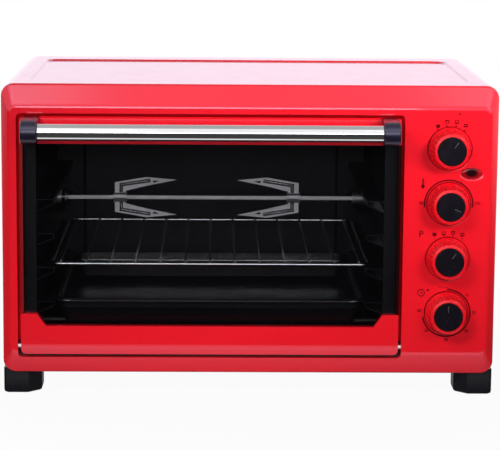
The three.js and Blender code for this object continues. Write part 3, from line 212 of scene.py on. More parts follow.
def rod(name, axis, centre, start, end, radius, sides=32):  # centre gives the two places across the axis
    leave()
    bpy.ops.mesh.primitive_cylinder_add(
        vertices=sides,
        radius=radius * mm,
        depth=(end - start) * mm,
        location=at(*threeOf(axis, centre, (start + end) / 2)),
        rotation={"x": (0, math.pi / 2, 0), "y": (math.pi / 2, 0, 0), "z": (0, 0, 0)}[axis],
    )
    piece = bpy.context.object
    piece.name = name
    settle(piece)
    return piece


def turned(name, axis, centre, profile, sides=64):  # profile: radius and place along the axis, from the centre
    leave()
    along = Vector(threeOf(axis, (0, 0), 1))
    out = Vector((0, 0, 1)) if axis != "z" else Vector((1, 0, 0))
    places = [(along * place + out * radius) * mm for radius, place in profile]
    bpy.ops.mesh.primitive_plane_add(size=mm, location=at(*centre) + places[0])
    piece = bpy.context.object
    piece.name = name
    settle(piece)
    edit(piece)
    bpy.ops.mesh.merge(type="CENTER")
    for before, after in zip(places, places[1:]):
        bpy.ops.mesh.extrude_region_move(TRANSFORM_OT_translate={"value": after - before})
    bpy.ops.mesh.select_all(action="SELECT")
    spin(sides, 2 * math.pi, at(*centre), along)
    outwards()
    return piece


def oval(name, centre, profile, size):  # a turned shape of radius 1, stretched to half a width and a height
    wide, tall = size
    piece = turned(name, "y", (centre.x, 0, centre.z), profile)
    edit(piece)
    bpy.ops.transform.resize(value=(wide, 1, tall), center_override=at(centre.x, 0, centre.z))
    leave()
    return piece


def outlineRing(axis, ring, steps):  # one rounded rectangle of edges
    lowA, highA, lowB, highB, radius, place = ring
    leave()
    bpy.ops.mesh.primitive_plane_add(size=1)
    piece = bpy.context.object
    piece.scale = ((highA - lowA) * mm, (highB - lowB) * mm, 1)
    settle(piece)
    edit(piece)
    bpy.ops.mesh.bevel(offset=radius * mm, segments=steps, affect="VERTICES")
    bpy.ops.mesh.select_all(action="SELECT")
    bpy.ops.mesh.delete(type="ONLY_FACE")
    leave()
    turn = {"x": (math.pi / 2, 0, math.pi / 2), "y": (math.pi / 2, 0, 0), "z": (0, 0, 0)}
    piece.rotation_euler = turn[axis]
    piece.location = at(*threeOf(axis, ((lowA + highA) / 2, (lowB + highB) / 2), place))
    settle(piece)
    return piece


def bridged(name, axis, rings, closed=False):  # rings: low, high, low, high, corner radius, place
    apart, steps = 40, 12  # rings are bridged well apart and then brought to their places
    loops = []
    for number, ring in enumerate(rings):
        loop = outlineRing(axis, (*ring[:5], ring[5] + apart * number), steps)
        mark = loop.data.attributes.new("ring", "INT", "POINT")
        mark.data.foreach_set("value", [number] * len(loop.data.vertices))
        loops.append(loop)
    piece = joined(*loops)
    piece.name = name
    pairs = [(number, number + 1) for number in range(len(rings) - 1)]
    if closed:
        pairs.append((len(rings) - 1, 0))
    for pair in pairs:
        pickRings(piece, pair)
        bpy.ops.mesh.bridge_edge_loops()
    if not closed:
        for end in (0, len(rings) - 1):
            pickRings(piece, (end,))
            bpy.ops.mesh.edge_face_add()
    for number in range(1, len(rings)):
        pickRings(piece, (number,))
        bpy.ops.transform.translate(value=threeOf(axis, (0, 0), -apart * number * mm))
    outwards()
    return piece


def ringNumbers(piece):
    leave()
    return [mark.value for mark in piece.data.attributes["ring"].data]


def pickRings(piece, rings):
    numbers = ringNumbers(piece)
    edit(piece, "verts", lambda vertex: numbers[vertex.index] in rings)


def bevelRing(piece, ring, width, segments):
    numbers = ringNumbers(piece)
    edit(piece, "edges", lambda edge: all(numbers[vertex.index] == ring for vertex in edge.verts))
    bpy.ops.mesh.bevel(offset=width * mm, segments=segments)
    leave()


creaseSizes = {"angles": (12, 25), "depth": 0.3, "segments": 6}  # shallow folds in a node's front
flatAngle = 0.5  # faces that bend less become one


def dressed(node, width, segments=2, sharp=30, flat=True, crease=0, finish=None):
    piece = copied(node + "_piece", frame["nodes"][node])  # welded, with soft edges
    if piece.data.has_custom_normals:
        bpy.ops.mesh.customdata_custom_splitnormals_clear()
    edit(piece)
    weld("node")
    if flat:
        bpy.ops.mesh.dissolve_limited(angle_limit=math.radians(flatAngle))
    leave()
    if crease:
        least, most = creaseSizes["angles"]
        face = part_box(node)[0].y + creaseSizes["depth"] * mm

        def folded(edge):
            bend = math.degrees(edge.calc_face_angle(0))
            return least < bend < most and all(end.co.y < face for end in edge.verts)

        edit(piece, "edges", folded)
        bpy.ops.mesh.bevel(offset=crease * mm, segments=creaseSizes["segments"])
        leave()
    if width:
        soften(piece, width, segments, sharp)
    else:
        smooth(piece, sharp)
    place(piece, finish or finishes[slotOf[node]], node)


def fixed(piece, finish, body):  # its look and what it moves with
    if "ring" in piece.data.attributes:
        piece.data.attributes.remove(piece.data.attributes["ring"])
    piece.data.materials.clear()
    piece.data.materials.append(finish)
    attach(piece, body)
    return piece


def place(piece, finish, node):  # a piece that stands for a node
    fixed(piece, finish, bodyOf[node])
    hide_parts(node)


# Materials: arithmetic on node sockets

class Wire:
    def __init__(self, tree, socket):
        self.tree = tree
        self.socket = socket

    def math(self, operation, *others):
        node = self.tree.nodes.new("ShaderNodeMath")
        node.operation = operation
        for slot, value in zip(node.inputs, (self, *others)):
            feed(self.tree, slot, value)
        return Wire(self.tree, node.outputs[0])

    def __add__(self, other):
        return self.math("ADD", other)

    def __mul__(self, other):
        return self.math("MULTIPLY", other)

    def __rsub__(self, other):
        return (self * -1) + other

    __radd__ = __add__
    __rmul__ = __mul__


def feed(tree, slot, value):
    if isinstance(value, Wire):
        tree.links.new(value.socket, slot)
    else:
        slot.default_value = value


class Sheet:  # nodes on one material or world
    def __init__(self, tree):
        self.tree = tree

    def node(self, kind, settings=None, sockets=None, output=0):
        node = self.tree.nodes.new("ShaderNode" + kind)
        for key, value in (settings or {}).items():
            setattr(node, key, value)
        for key, value in (sockets or {}).items():
            feed(self.tree, node.inputs[key], value)
        return Wire(self.tree, node.outputs[output])

    def split(self, vector):
        first = self.node("SeparateXYZ", None, {0: vector})
        return [Wire(self.tree, socket) for socket in first.socket.node.outputs]

    def vector(self, operation, *values, output=0):
        return self.node("VectorMath", {"operation": operation}, dict(enumerate(values)), output)

    def length(self, vector):
        return self.vector("LENGTH", vector, output=1)

    def between(self, value, low, high):  # spreads a 0 to 1 value from low to high
        return value * (high - low) + low

    def step(self, value, start, end, first=0.0, last=1.0):  # a smooth rise or fall
        sockets = {0: value, 1: start, 2: end, 3: first, 4: last}
        return self.node("MapRange", {"interpolation_type": "SMOOTHSTEP"}, sockets)

    def blend(self, factor, first, second):
        return self.node("Mix", {"data_type": "RGBA"}, {0: factor, 6: first, 7: second}, output=2)


class Finish(Sheet):
    def __init__(self, name, **constants):
        self.material = bpy.data.materials.new(name)
        self.material.use_nodes = True
        super().__init__(self.material.node_tree)
        self.shader = self.tree.nodes["Principled BSDF"]
        for key, value in constants.items():
            self.set(key, value)

    def set(self, key, value):
        name = {"specularIorLevel": "Specular IOR Level", "coatIor": "Coat IOR"}.get(key)
        if name is None:
            name = "".join(" " + letter if letter.isupper() else letter for letter in key).title()
        feed(self.tree, self.shader.inputs[name], value)

    def where(self):
        return self.node("TexCoord", output=3)

    def noise(self, scale, detail):
        return self.node("TexNoise", None, {"Vector": self.where(), "Scale": scale, "Detail": detail})

    def drift(self, value, first, second):  # the colour runs with the value from the first to the second
        self.set("baseColor", self.blend(value, rgb(*first), rgb(*second)))

    def own(self):
        return Wire(self.tree, self.shader.outputs[0])

    def surface(self, factor, first, second):
        mix = self.node("MixShader", None, {0: factor, 1: first, 2: second})
        feed(self.tree, self.tree.nodes["Material Output"].inputs["Surface"], mix)


def rgb(red, green, blue):
    return (red, green, blue, 1)


white = rgb(1, 1, 1)


def thinEnamel(red, specular):  # duller enamel: the door seat keeps its own red, while darker copies are painted shade on the door's edge strips and in the knobs' seats
    return {
        "cloud": (60, 3),
        "colours": ((red, red * 0.01, red * 0.02), (red * 0.8, red * 0.01, red * 0.02)),
        "rough": (0.25, 0.4),
        "shader": {"specularIorLevel": specular},
    }


# What most finishes are made of: clouds (scale, detail) between two colours, the range of the roughness
# over the same clouds or its own, and a grain (scale, detail, millimetres deep)
looks = {
    "red_enamel": {  # deep gloss with the slight waviness of sprayed paint
        "cloud": (9, 2),
        "colours": ((0.84, 0.008, 0.017), (0.8, 0.006, 0.014)),
        "roughCloud": (60, 4),
        "rough": (0.14, 0.26),
        "grain": (420, 2, 0.006),
        "shader": {
            "specularIorLevel": 0.5,
            "specularTint": rgb(0.85, 0.5, 1.0),
            "coatWeight": 0.75,
            "coatRoughness": 0.04,
            "coatIor": 1.5,
        },
    },
    # painted shade: darker copies of the red for the door's edge strips and the knobs' seat rings; the seat
    # keeps its own red
    "painted_shade_strip_enamel": thinEnamel(0.24, 0.3),
    "painted_deep_shade_strip_enamel": thinEnamel(0.012, 0.1),
    "seat_enamel": thinEnamel(0.84, 0.0),
    "knob_ring_shade_enamel": thinEnamel(0.3, 0.0),
    "red_plastic": {
        "cloud": (40, 3),
        "colours": ((0.84, 0.006, 0.016), (0.72, 0.003, 0.01)),
        "roughCloud": (300, 4),
        "rough": (0.2, 0.32),
        "grain": (900, 2, 0.006),
        "shader": {"specularIorLevel": 0.4},
    },
    "black_plastic": {
        "cloud": (120, 4),
        "colours": ((0.003, 0.002, 0.004), (0.007, 0.006, 0.01)),
        "rough": (0.2, 0.3),
        "grain": (2600, 2, 0.008),
        "shader": {"specularIorLevel": 0.2},
    },
    "bracket_plastic": {  # glossier, with a cold cast
        "cloud": (120, 4),
        "colours": ((0.005, 0.004, 0.012), (0.008, 0.007, 0.018)),
        "rough": (0.26, 0.34),
        "grain": (2600, 2, 0.004),
        "shader": {
            "specularIorLevel": 0.75,
            "specularTint": rgb(0.7, 0.64, 1.0),
            "coatWeight": 0.35,
            "coatRoughness": 0.26,
        },
    },
    "chrome": {
        "cloud": (30, 2),
        "colours": ((0.86, 0.87, 0.89), (0.8, 0.8, 0.81)),
        "roughCloud": (140, 5),
        "rough": (0.05, 0.13),
        "shader": {"metallic": 1.0},
    },
    "bright_steel": {
        "cloud": (90, 4),
        "colours": ((0.9, 0.89, 0.89), (0.7, 0.69, 0.68)),
        "rough": (0.42, 0.58),
        "grain": (1500, 3, 0.01),
        "shader": {"metallic": 1.0},
    },
    "wire_steel": {  # drawn wire: smoother than pressed plate; on the tray's beads its brightness is painted highlight
        "cloud": (200, 4),
        "colours": ((0.9, 0.9, 0.9), (0.74, 0.73, 0.72)),
        "rough": (0.16, 0.24),
        "shader": {"metallic": 1.0},
    },
    "groove_shade_steel": {  # painted shade: dark steel laid where the pressed grooves lie in shade
        "cloud": (400, 3),
        "colours": ((0.03, 0.028, 0.028), (0.06, 0.055, 0.05)),
        "rough": (0.5, 0.7),
        "shader": {"metallic": 0.6},
    },
    "liner_steel": {
        "cloud": (25, 5),
        "colours": ((0.004, 0.0035, 0.005), (0.007, 0.006, 0.008)),
        "rough": (0.32, 0.5),
        "grain": (700, 3, 0.015),
        "shader": {"specularIorLevel": 0.25},
    },
    "black_enamel": {
        "cloud": (1800, 1),
        "colours": ((0.004, 0.004, 0.005), (0.012, 0.012, 0.014)),
        "roughCloud": (70, 3),
        "rough": (0.16, 0.28),
        "grain": (260, 2, 0.02),
        "shader": {"specularIorLevel": 0.4, "coatWeight": 0.3, "coatRoughness": 0.12},
    },
    "element_sheath": {
        "cloud": (60, 5),
        "colours": ((0.08, 0.075, 0.07), (0.2, 0.18, 0.15)),
        "rough": (0.4, 0.62),
        "shader": {"metallic": 0.8},
    },
    "pale_moulding": {
        "cloud": (80, 3),
        "colours": ((0.68, 0.65, 0.57), (0.6, 0.57, 0.5)),
        "rough": (0.45, 0.6),
        "shader": {},
    },
    "printed_ink": {
        "cloud": (900, 2),
        "colours": ((0.06, 0.001, 0.002), (0.11, 0.001, 0.003)),
        "shader": {"roughness": 0.6, "specularIorLevel": 0.08},
    },
    # partly painted glint: the pointers are raised marks, and their pale ink stands in for the glint along each
    # ridge
    "pointer_glint_ink": {
        "cloud": (900, 2),
        "colours": ((0.17, 0.17, 0.18), (0.12, 0.12, 0.13)),
        "shader": {"roughness": 0.4},
    },
}


def clouded(name, look):
    paint = Finish(name, **look["shader"])
    cloud = paint.noise(*look["cloud"])
    paint.drift(cloud, *look["colours"])
    if "rough" in look:
        rough = paint.noise(*look["roughCloud"]) if "roughCloud" in look else cloud
        paint.set("roughness", paint.between(rough, *look["rough"]))
    if "grain" in look:
        scale, detail, depth = look["grain"]
        bump = {"Height": paint.noise(scale, detail), "Distance": depth * mm}
        paint.set("normal", paint.node("Bump", None, bump))
    return paint.material


spangle = {"scale": 420, "colours": ((0.5, 0.51, 0.53), (0.6, 0.61, 0.62)), "rough": (0.34, 0.5)}


def galvanised():  # fine flakes of zinc
    paint = Finish("galvanised", metallic=1.0)
    sockets = {"Vector": paint.where(), "Scale": spangle["scale"]}
    flakes = paint.node("TexVoronoi", None, sockets, output=1)
    grey = paint.node("RGBToBW", None, {0: flakes})
    paint.drift(grey, *spangle["colours"])
    paint.set("roughness", paint.between(grey, *spangle["rough"]))
    return paint.material


glassLook = {"colour": (0.02, 0.02, 0.024), "through": (0.86, 0.86, 0.88), "roughness": 0.02, "ior": 1.5}


def doorGlass():  # clear straight on, mirroring at a grazing view
    base = rgb(*glassLook["colour"])
    glass = Finish("door_glass", baseColor=base, roughness=glassLook["roughness"], specularIorLevel=0.5)
    clear = glass.node("BsdfTransparent", None, {"Color": rgb(*glassLook["through"])})
    grazing = glass.node("Fresnel", None, {"IOR": glassLook["ior"]})
    glass.surface(grazing, clear, glass.own())
    return glass.material


# The pilot window, with a core of painted shade for the dark hollow behind it: where, and over which metres it
# shows
lensLook = {
    "cloud": (200, 2),
    "colours": ((0.34, 0.003, 0.008), (0.28, 0.002, 0.006)),
    "core": (0.012, 0.001, 0.002),
    "rough": (0.1, 0.16),
    "shift": Vector((0, 0, 0.001)),
    "stretch": (1, 0, 1.4),
    "reach": (0.004, 0.0092),
}


def redLens():
    paint = Finish("red_lens", specularIorLevel=0.4)
    cloud = paint.noise(*lensLook["cloud"])
    low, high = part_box("pilot_lens")
    away = paint.vector("SUBTRACT", paint.where(), (low + high) / 2 + lensLook["shift"])
    away = paint.length(paint.vector("MULTIPLY", away, lensLook["stretch"]))
    red = paint.blend(cloud, *(rgb(*colour) for colour in lensLook["colours"]))
    # painted shade: dark in the middle, a little above centre, turning red towards the rim
    core = paint.step(away, *lensLook["reach"])
    paint.set("baseColor", paint.blend(core, rgb(*lensLook["core"]), red))
    paint.set("roughness", paint.between(cloud, *lensLook["rough"]))
    return paint.material


finishes = {name: clouded(name, look) for name, look in looks.items()}
finishes.update({"galvanised": galvanised(), "door_glass": doorGlass(), "red_lens": redLens()})
for node, part in frame["nodes"].items():
    part.data.materials.clear()
    part.data.materials.append(finishes[slotOf[node]])
print("finishes made")


# Front frame: a pressed bezel with sloping edges, folded in round the door opening
frontSizes = {
    "faceInset": 9,
    "topSlope": 23.5,
    "bottomSlope": 24.2,
    "slopeDepth": 9,
    "skirt": 12,
    "tongue": 24,
    "wall": 2,
    "wrapInset": 1.5,
    "corner": 14,
    "faceCorner": 8,
    "doorCorner": 5,
    "returnDepth": 13.7,
    "doorGap": 3.4,
    "bends": ((1, 2.2), (0, 2.6)),  # which ring of the shell is rounded, and how wide
    "bendSteps": 4,
    "pocket": 24.7,  # a shallow round seat behind each knob
    "pocketDepth": 1.1,
    "shaftHole": 5.5,
    "pinHole": 2.9,
    "lensHole": (11.2, 6.1),
    "lensLip": [  # shares of the hole's size, and depths
        (0, -4),
        (1.5, -4),
        (1.28, -0.01),
        (1.18, 0.1),
        (1.1, 0.3),
        (1.03, 0.7),
        (1, 1.4),
        (1, 4),
        (0, 4),
    ],
    "edge": 0.7,
    "holeEnds": (-5, 4),
    "past": 1,  # how far a cutter reaches past what it cuts
}
frameLow, frameHigh = span("front_frame")
knobCentres = {
    name: [(low + high) / 2 for low, high in zip(*span(name + "_knob_cap"))]
    for name in ("heating", "temperature", "programme", "timer")
}
lensLow, lensHigh = span("pilot_lens")
lensCentre = (lensLow + lensHigh) / 2
railLow = span("door_lower_rail")[0]
railHigh = span("door_upper_rail")[1]


def aroundDoor(grow, corner, y):
    return (railLow.x - grow, railHigh.x + grow, railLow.z - grow, railHigh.z + grow, corner, y)


def makeFrontFrame():
    size = frontSizes
    wall, slope, tongue, past = size["wall"], size["slopeDepth"], size["tongue"], size["past"]

    def housing(inset, y):
        low, high = (frameLow.x + inset, frameLow.z + inset), (frameHigh.x - inset, frameHigh.z - inset)
        return (low[0], high[0], low[1], high[1], size["corner"] - inset, y)

    def face(inset, y):
        low = (frameLow.x + size["faceInset"] + inset, frameLow.z + size["bottomSlope"] + inset)
        high = (frameHigh.x - size["faceInset"] - inset, frameHigh.z - size["topSlope"] - inset)
        return (low[0], high[0], low[1], high[1], size["faceCorner"], y)

    def opening(grow, y):
        return aroundDoor(size["doorGap"] + grow, size["doorCorner"] + grow, y)

    shell = [
        face(0, 0),
        housing(0, slope),
        housing(0, size["skirt"]),
        housing(size["wrapInset"], size["skirt"]),
        housing(size["wrapInset"], tongue),
        housing(size["wrapInset"] + wall, tongue),
        housing(size["wrapInset"] + wall, slope + wall),
        face(wall / 2, wall),
    ]
    piece = bridged("front_frame_piece", "y", shell)
    for ring, width in size["bends"]:
        bevelRing(piece, ring, width, size["bendSteps"])
    behind = bridged("behind", "y", [face(0, wall / 2), housing(0, slope + wall / 2), housing(0, tongue)])
    folded = bridged("folded", "y", [opening(wall, -past), opening(wall, size["returnDepth"])])
    cut(folded, behind, operation="INTERSECT")
    cut(piece, folded, operation="UNION")
    doorway = bridged("doorway", "y", [opening(0, -past), opening(0, tongue + past)])
    window = oval("hole", lensCentre, size["lensLip"], size["lensHole"])
    middles = [(centre[0], centre[2]) for centre in knobCentres.values()]
    start, end = size["holeEnds"]
    holes = [rod("hole", "y", middle, start, end, size["shaftHole"]) for middle in middles]
    pinLow, pinHigh = span("hinge_pin_left")
    pin = (pinLow + pinHigh) / 2
    pinEnd = span("hinge_pin_right")[1].x
    holes.append(rod("hole", "x", (pin.y, pin.z), pinLow.x - past, pinEnd + past, size["pinHole"]))
    for middle in middles:
        holes.append(rod("pocket", "y", middle, start, size["pocketDepth"], size["pocket"], sides=96))
    cut(piece, doorway, window, *holes)
    soften(piece, size["edge"], 3, 32)
    place(piece, finishes["red_enamel"], "front_frame")


# Folded flange of the front, seen in the gap round the door and cut away where the door's foot turns
seatSizes = {"outer": 3.3, "inner": -2, "front": 12.7, "back": 13.6, "corner": 5, "edge": 0.15}
seatOpen = {"side": 9, "front": 5, "back": 20, "height": 14}


def makeDoorSeat():
    size = seatSizes
    sides = [("outer", "front"), ("inner", "front"), ("inner", "back"), ("outer", "back")]
    rings = [aroundDoor(size[grow], size["corner"], size[y]) for grow, y in sides]
    seat = bridged("door_seat", "y", rings, closed=True)
    low = (railLow.x - seatOpen["side"], seatOpen["front"], railLow.z - seatOpen["side"])
    high = (railHigh.x + seatOpen["side"], seatOpen["back"], railLow.z + seatOpen["height"])
    cut(seat, block("below", low, high))
    soften(seat, size["edge"], 2)
    fixed(seat, finishes["seat_enamel"], "housing")


makeFrontFrame()
makeDoorSeat()
print("front frame made")

for node in ("outer_wrap", "rear_panel", "base_plate"):
    dressed(node, 0.3, flat=False)  # merging flat faces tears them at the slots
for node in ("foot_front_left", "foot_front_right", "foot_rear_left", "foot_rear_right"):
    dressed(node, 1.2, 3)

# Screws: pan heads with a cross recess, one modelled and the others copied
screwSizes = {
    "head": 3.6,
    "rise": 1.9,
    "dome": [(0, 0), (1, 0), (1, 0.25), (0.86, 0.62), (0.5, 0.9), (0, 1)],  # shares of the radius and the rise
    "slot": (4.2, 0.9),
    "slotDepth": 1.2,
    "inset": 11,
    "sink": 0.05,
}


def screwHead(name, axis, centre, out):  # out: which way along the axis the head points
    radius, rise = screwSizes["head"], screwSizes["rise"]
    profile = [(reach * radius, out * level * rise) for reach, level in screwSizes["dome"]]
    head = turned(name, axis, centre, profile, sides=28)
    long, wide = (value / 2 for value in screwSizes["slot"])
    bottom, top = sorted((out * (rise - screwSizes["slotDepth"]), out * (rise + 1)))
    bars = []
    for first, second in ((long, wide), (wide, long)):
        low, high = threeOf(axis, (-first, -second), bottom), threeOf(axis, (first, second), top)
        bars.append(block("bar", Vector(low) + Vector(centre), Vector(high) + Vector(centre)))
    cut(head, *bars)
    return smooth(head)


def makeScrews():
    inset, sink = screwSizes["inset"], screwSizes["sink"]
    low, high = span("rear_panel")
    middle = (low + high) / 2
    across, heights = (low.x + inset, middle.x, high.x - inset), (low.z + inset, middle.z, high.z - inset)
    rear = [(x, high.y - sink, z) for x in across for z in heights if (x, z) != (middle.x, middle.z)]
    low, high = span("base_plate")
    middle = (low + high) / 2
    sides = [(middle.x, low.y + inset), (middle.x, high.y - inset)]
    sides += [(low.x + inset, middle.y), (high.x - inset, middle.y)]
    base = [(x, y, low.z + sink) for x, y in sides]
    for name, axis, out, places in (("rear_screws", "y", 1, rear), ("base_screws", "z", -1, base)):
        heads = [screwHead(name, axis, places[0], out)]
        for other in places[1:]:
            heads.append(copied("screw", heads[0], Vector(other) - Vector(places[0])))
        fixed(joined(*heads), finishes["bright_steel"], "housing")


makeScrews()
print("housing dressed")

dressed("door_lower_rail", 0.9, 3, 25, crease=4)
dressed("door_upper_rail", 0.9, 3, 25)
# The door's edge strips are painted a darker red as shade, the right one darker still.
dressed("door_edge_strip_left", 0.3, finish=finishes["painted_shade_strip_enamel"])
dressed("door_edge_strip_right", 0.3, finish=finishes["painted_deep_shade_strip_enamel"])

# Door glass: a ground and polished pane
paneEdge = 0.5

pane = block("door_glass_piece", *span("door_glass"))
soften(pane, paneEdge, 2)
place(pane, finishes["door_glass"], "door_glass")

# Handle: chrome tube between two rounded brackets
handleSizes = {"radius": 9.1, "wall": 1, "gap": 0.3, "nose": 12.6, "noseSteps": 14, "edge": 1.3, "barEdge": 0.3}


def makeHandle():
    low, high = span("handle_bar")
    middle = (low + high) / 2
    outer, bore = handleSizes["radius"], handleSizes["radius"] - handleSizes["wall"]
    half = (high.x - low.x) / 2
    profile = [(bore, -half), (outer, -half), (outer, half), (bore, half), (bore, -half)]
    bar = turned("handle_bar_piece", "x", middle, profile, sides=72)
    soften(bar, handleSizes["barEdge"], 2)
    place(bar, finishes["chrome"], "handle_bar")
    for side in ("left", "right"):
        node = "handle_bracket_" + side
        low, high = span(node)
        if side == "left":
            high.x = middle.x - half - handleSizes["gap"]
        else:
            low.x = middle.x + half + handleSizes["gap"]
        bracket = block(node + "_piece", low, high)
        nose = at(0, low.y, 0).y

        def alongNose(edge):
            start, end = (vertex.co for vertex in edge.verts)
            return max(abs(start.y - nose), abs(end.y - nose)) < mm < abs(start.x - end.x)

        edit(bracket, "edges", alongNose)
        bpy.ops.mesh.bevel(offset=handleSizes["nose"] * mm, segments=handleSizes["noseSteps"])
        soften(bracket, handleSizes["edge"], 4, 40)
        place(bracket, finishes["bracket_plastic"], node)


makeHandle()
for node in ("hinge_pin_left", "hinge_pin_right"):
    dressed(node, 0.4, sharp=50)
print("door dressed")


# Knobs: a round skirt, a grip with scooped flutes and a black cap
knobSizes = {
    "profile": [
        (3.3, -0.6),
        (22.8, -0.6),
        (23.4, -0.9),
        (23.5, -1.4),
        (23.2, -2.0),
        (22.6, -2.9),
        (21.9, -4.2),
        (21.3, -6),
        (20.5, -13),
        (19.6, -21.6),
        (19.0, -23.2),
        (17.6, -24),
        (15.9, -24),
        (15.9, -21.8),
        (3.3, -21.8),
        (3.3, -0.6),
    ],
    "flutes": 22,
    "fluteRadius": 2.6,
    "fluteDepth": 0.75,
    "fluteEnds": (-30, -5.4),
    "gripRadius": 20.1,  # where the flutes are half way along
    "lean": (1.7, 17.0),  # the grip narrows by this over this length
    "edge": 0.3,
    "cap": [(0, -21.9), (15.6, -21.9), (15.6, -23.7), (15.3, -24), (0, -24)],
    "capEdge": 0.25,
}


def knobAt(name, centre):
    size = knobSizes
    grip = turned(name, "y", (centre[0], 0, centre[2]), size["profile"], sides=120)
    cutters = []
    start, end = size["fluteEnds"]
    middle = at(centre[0], (start + end) / 2, centre[2])
    reach = (size["gripRadius"] + size["fluteRadius"] - size["fluteDepth"]) * mm
    for number in range(size["flutes"]):
        flute = rod("flute", "y", (centre[0], centre[2]), start, end, size["fluteRadius"], sides=20)
        edit(flute)
        bpy.ops.transform.rotate(value=-math.atan2(*size["lean"]), orient_axis="X", center_override=middle)
        bpy.ops.transform.translate(value=(0, 0, reach))
        angle = 2 * math.pi * number / size["flutes"]
        bpy.ops.transform.rotate(value=angle, orient_axis="Y", center_override=middle)
        leave()
        cutters.append(flute)
    cut(grip, joined(*cutters))
    return soften(grip, size["edge"], 2, 32)


def makeKnobs():
    first = "heating"
    centre = knobCentres[first]
    grip = knobAt("heating_knob_piece", centre)
    cap = turned("heating_knob_cap_piece", "y", (centre[0], 0, centre[2]), knobSizes["cap"], sides=72)
    soften(cap, knobSizes["capEdge"], 2)
    for name, other in knobCentres.items():
        for model, part in ((grip, "_knob"), (cap, "_knob_cap")):
            piece = model
            if name != first:
                piece = copied(name + part + "_piece", model, (0, 0, other[2] - centre[2]))
            place(piece, finishes[slotOf[name + part]], name + part)


makeKnobs()
print("knobs made")


# Printing on the panel and pointers on the caps, as thin raised ink; in each knob's seat a dark ring of painted
# shade, and on the pointers a pale ink that is partly a painted glint
printSizes = {
    "lift": 0.1,
    "labelHeight": 3.2,
    "labelScale": 1.38,
    "bold": 0.08,
    "dialReach": 25.8,
    "dialDot": 0.95,
    "sign": (4.4, 3.8),
    "signLine": 0.75,
    "signInset": 2.2,
    "arcStep": 6,  # degrees
    "arcSteps": 6,  # at least
}
signLevels = {"top": (0.9,), "bottom": (-0.9,), "both": (-0.9, 0.9)}  # bars for the rods that heat
ringSizes = {"radius": 23.5, "width": 1.6, "sink": 0.05}  # shade in each knob's seat
pointerSizes = {"width": 0.38, "length": 7.4, "middle": 8.4}
pointers = {"heating": 35, "temperature": 115, "programme": 34, "timer": 0}

# Each mark's place across and up from its knob's centre, then for a dot its radius, for a bar its width, height
# and turn, for an arc its radius, width, start and end, and for a label its words and height. Turns are degrees
# clockwise from the top, and so are the dots on a dial.
prints = {
    "heating": {
        "dial": (-33, -9, 14, 38),
        "dots": [(10.4, 38.1, 1.1)],
        "signs": [(-13.4, 24.8, "full"), (-3.6, 29.7, "top"), (6.9, 29.3, "bottom"), (16.7, 25.6, "both")],
    },
    "temperature": {
        "arcs": [(0, 0, 26.3, 1.6, -98, 98)],
        "labels": [(-30.2, 1, "60"), (31.2, 0.9, "230")],
        "bars": [
            (0, 28.6, 0.6, 2, -27),
            (0, 28.6, 0.6, 2, 29),
            (-28.4, 24.4, 1.6, 7.6),
            (-26, 22.4, 1.4, 0.5),
            (-26, 24.4, 1.4, 0.5),
            (-26, 26.4, 1.4, 0.5),
        ],
        "dots": [(-28.4, 19.2, 2.1)],
    },
    "programme": {
        "labels": [(-29.4, 27, "P", 7.4)],
        "signs": [(-14.7, 26.9, "full"), (-4.5, 28.2, "bottom"), (5.4, 28.6, "top"), (15.6, 26.5, "both")],
        "dots": [(-14.3, 22.2, 0.7), (-4.5, 25.4, 0.7), (5.4, 25.4, 0.7), (15.6, 22.2, 0.7)],
    },
    "timer": {
        "arcs": [(0, 0, 26.2, 1.6, 0, 260), (-28, 22.4, 3.7, 0.9, 0, 360)],
        "labels": [
            (21.9, 19.8, "10"),
            (30.2, 0.7, "20"),
            (22.5, -20.3, "30"),
            (0.3, -30.2, "40"),
            (-21.4, -19.9, "50"),
            (-29.6, 2.5, "60"),
        ],
        "bars": [(-28, 23.5, 0.8, 2.4), (-27.2, 22.2, 2.2, 0.8)],
        "dots": [(-20.6, 25.4, 1.3), (-7.7, 28.6, 0.6), (-5, 28.6, 0.6), (-2.4, 28.6, 0.6), (0.3, 28.6, 0.6)],
    },
}


def inkBar(centre, x, z, width, height, turn=0.0, face=0.0):
    half = printSizes["lift"]
    low = (centre[0] + x - width / 2, face - half, centre[2] + z - height / 2)
    high = (centre[0] + x + width / 2, face + half, centre[2] + z + height / 2)
    bar = block("bar", low, high)
    if turn:
        edit(bar)
        middle = at(centre[0], face, centre[2])
        bpy.ops.transform.rotate(value=-math.radians(turn), orient_axis="Y", center_override=middle)
        leave()
    return bar


def inkDot(centre, x, z, radius):
    half = printSizes["lift"]
    return rod("dot", "y", (centre[0] + x, centre[2] + z), -half, half, radius, sides=20)


def inkArc(centre, x, z, radius, width, start, end):
    leave()
    turn, sweep = math.radians(start), math.radians(end - start)
    steps = max(printSizes["arcSteps"], round((end - start) / printSizes["arcStep"]))
    middle = at(centre[0] + x, 0, centre[2] + z)
    out = Vector((math.sin(turn), 0, math.cos(turn))) * radius * mm
    bpy.ops.mesh.primitive_plane_add(size=1, location=middle + out, rotation=(0, turn - math.pi / 2, 0))
    band = bpy.context.object
    band.scale = (width * mm, 2 * printSizes["lift"] * mm, 1)
    settle(band)
    edit(band)
    spin(steps, -sweep, middle, (0, 1, 0))
    edit(band, "faces", lambda face: all(len(edge.link_faces) > 2 for edge in face.edges))
    bpy.ops.mesh.delete(type="FACE")  # walls left inside by the spin
    outwards()
    return band


def inkLabel(centre, x, z, words, height=printSizes["labelHeight"]):
    leave()
    spot = at(centre[0] + x, -printSizes["lift"], centre[2] + z)
    bpy.ops.object.text_add(location=spot, rotation=(math.pi / 2, 0, 0))
    label = bpy.context.object
    label.data.body = words
    label.data.size = height * printSizes["labelScale"] * mm
    label.data.align_x = "CENTER"
    label.data.align_y = "CENTER"
    label.data.extrude = printSizes["lift"] * mm
    label.data.offset = printSizes["bold"] * mm
    bpy.ops.object.convert(target="MESH")
    label = bpy.context.object
    settle(label)
    edit(label)
    weld("made")
    leave()
    return label


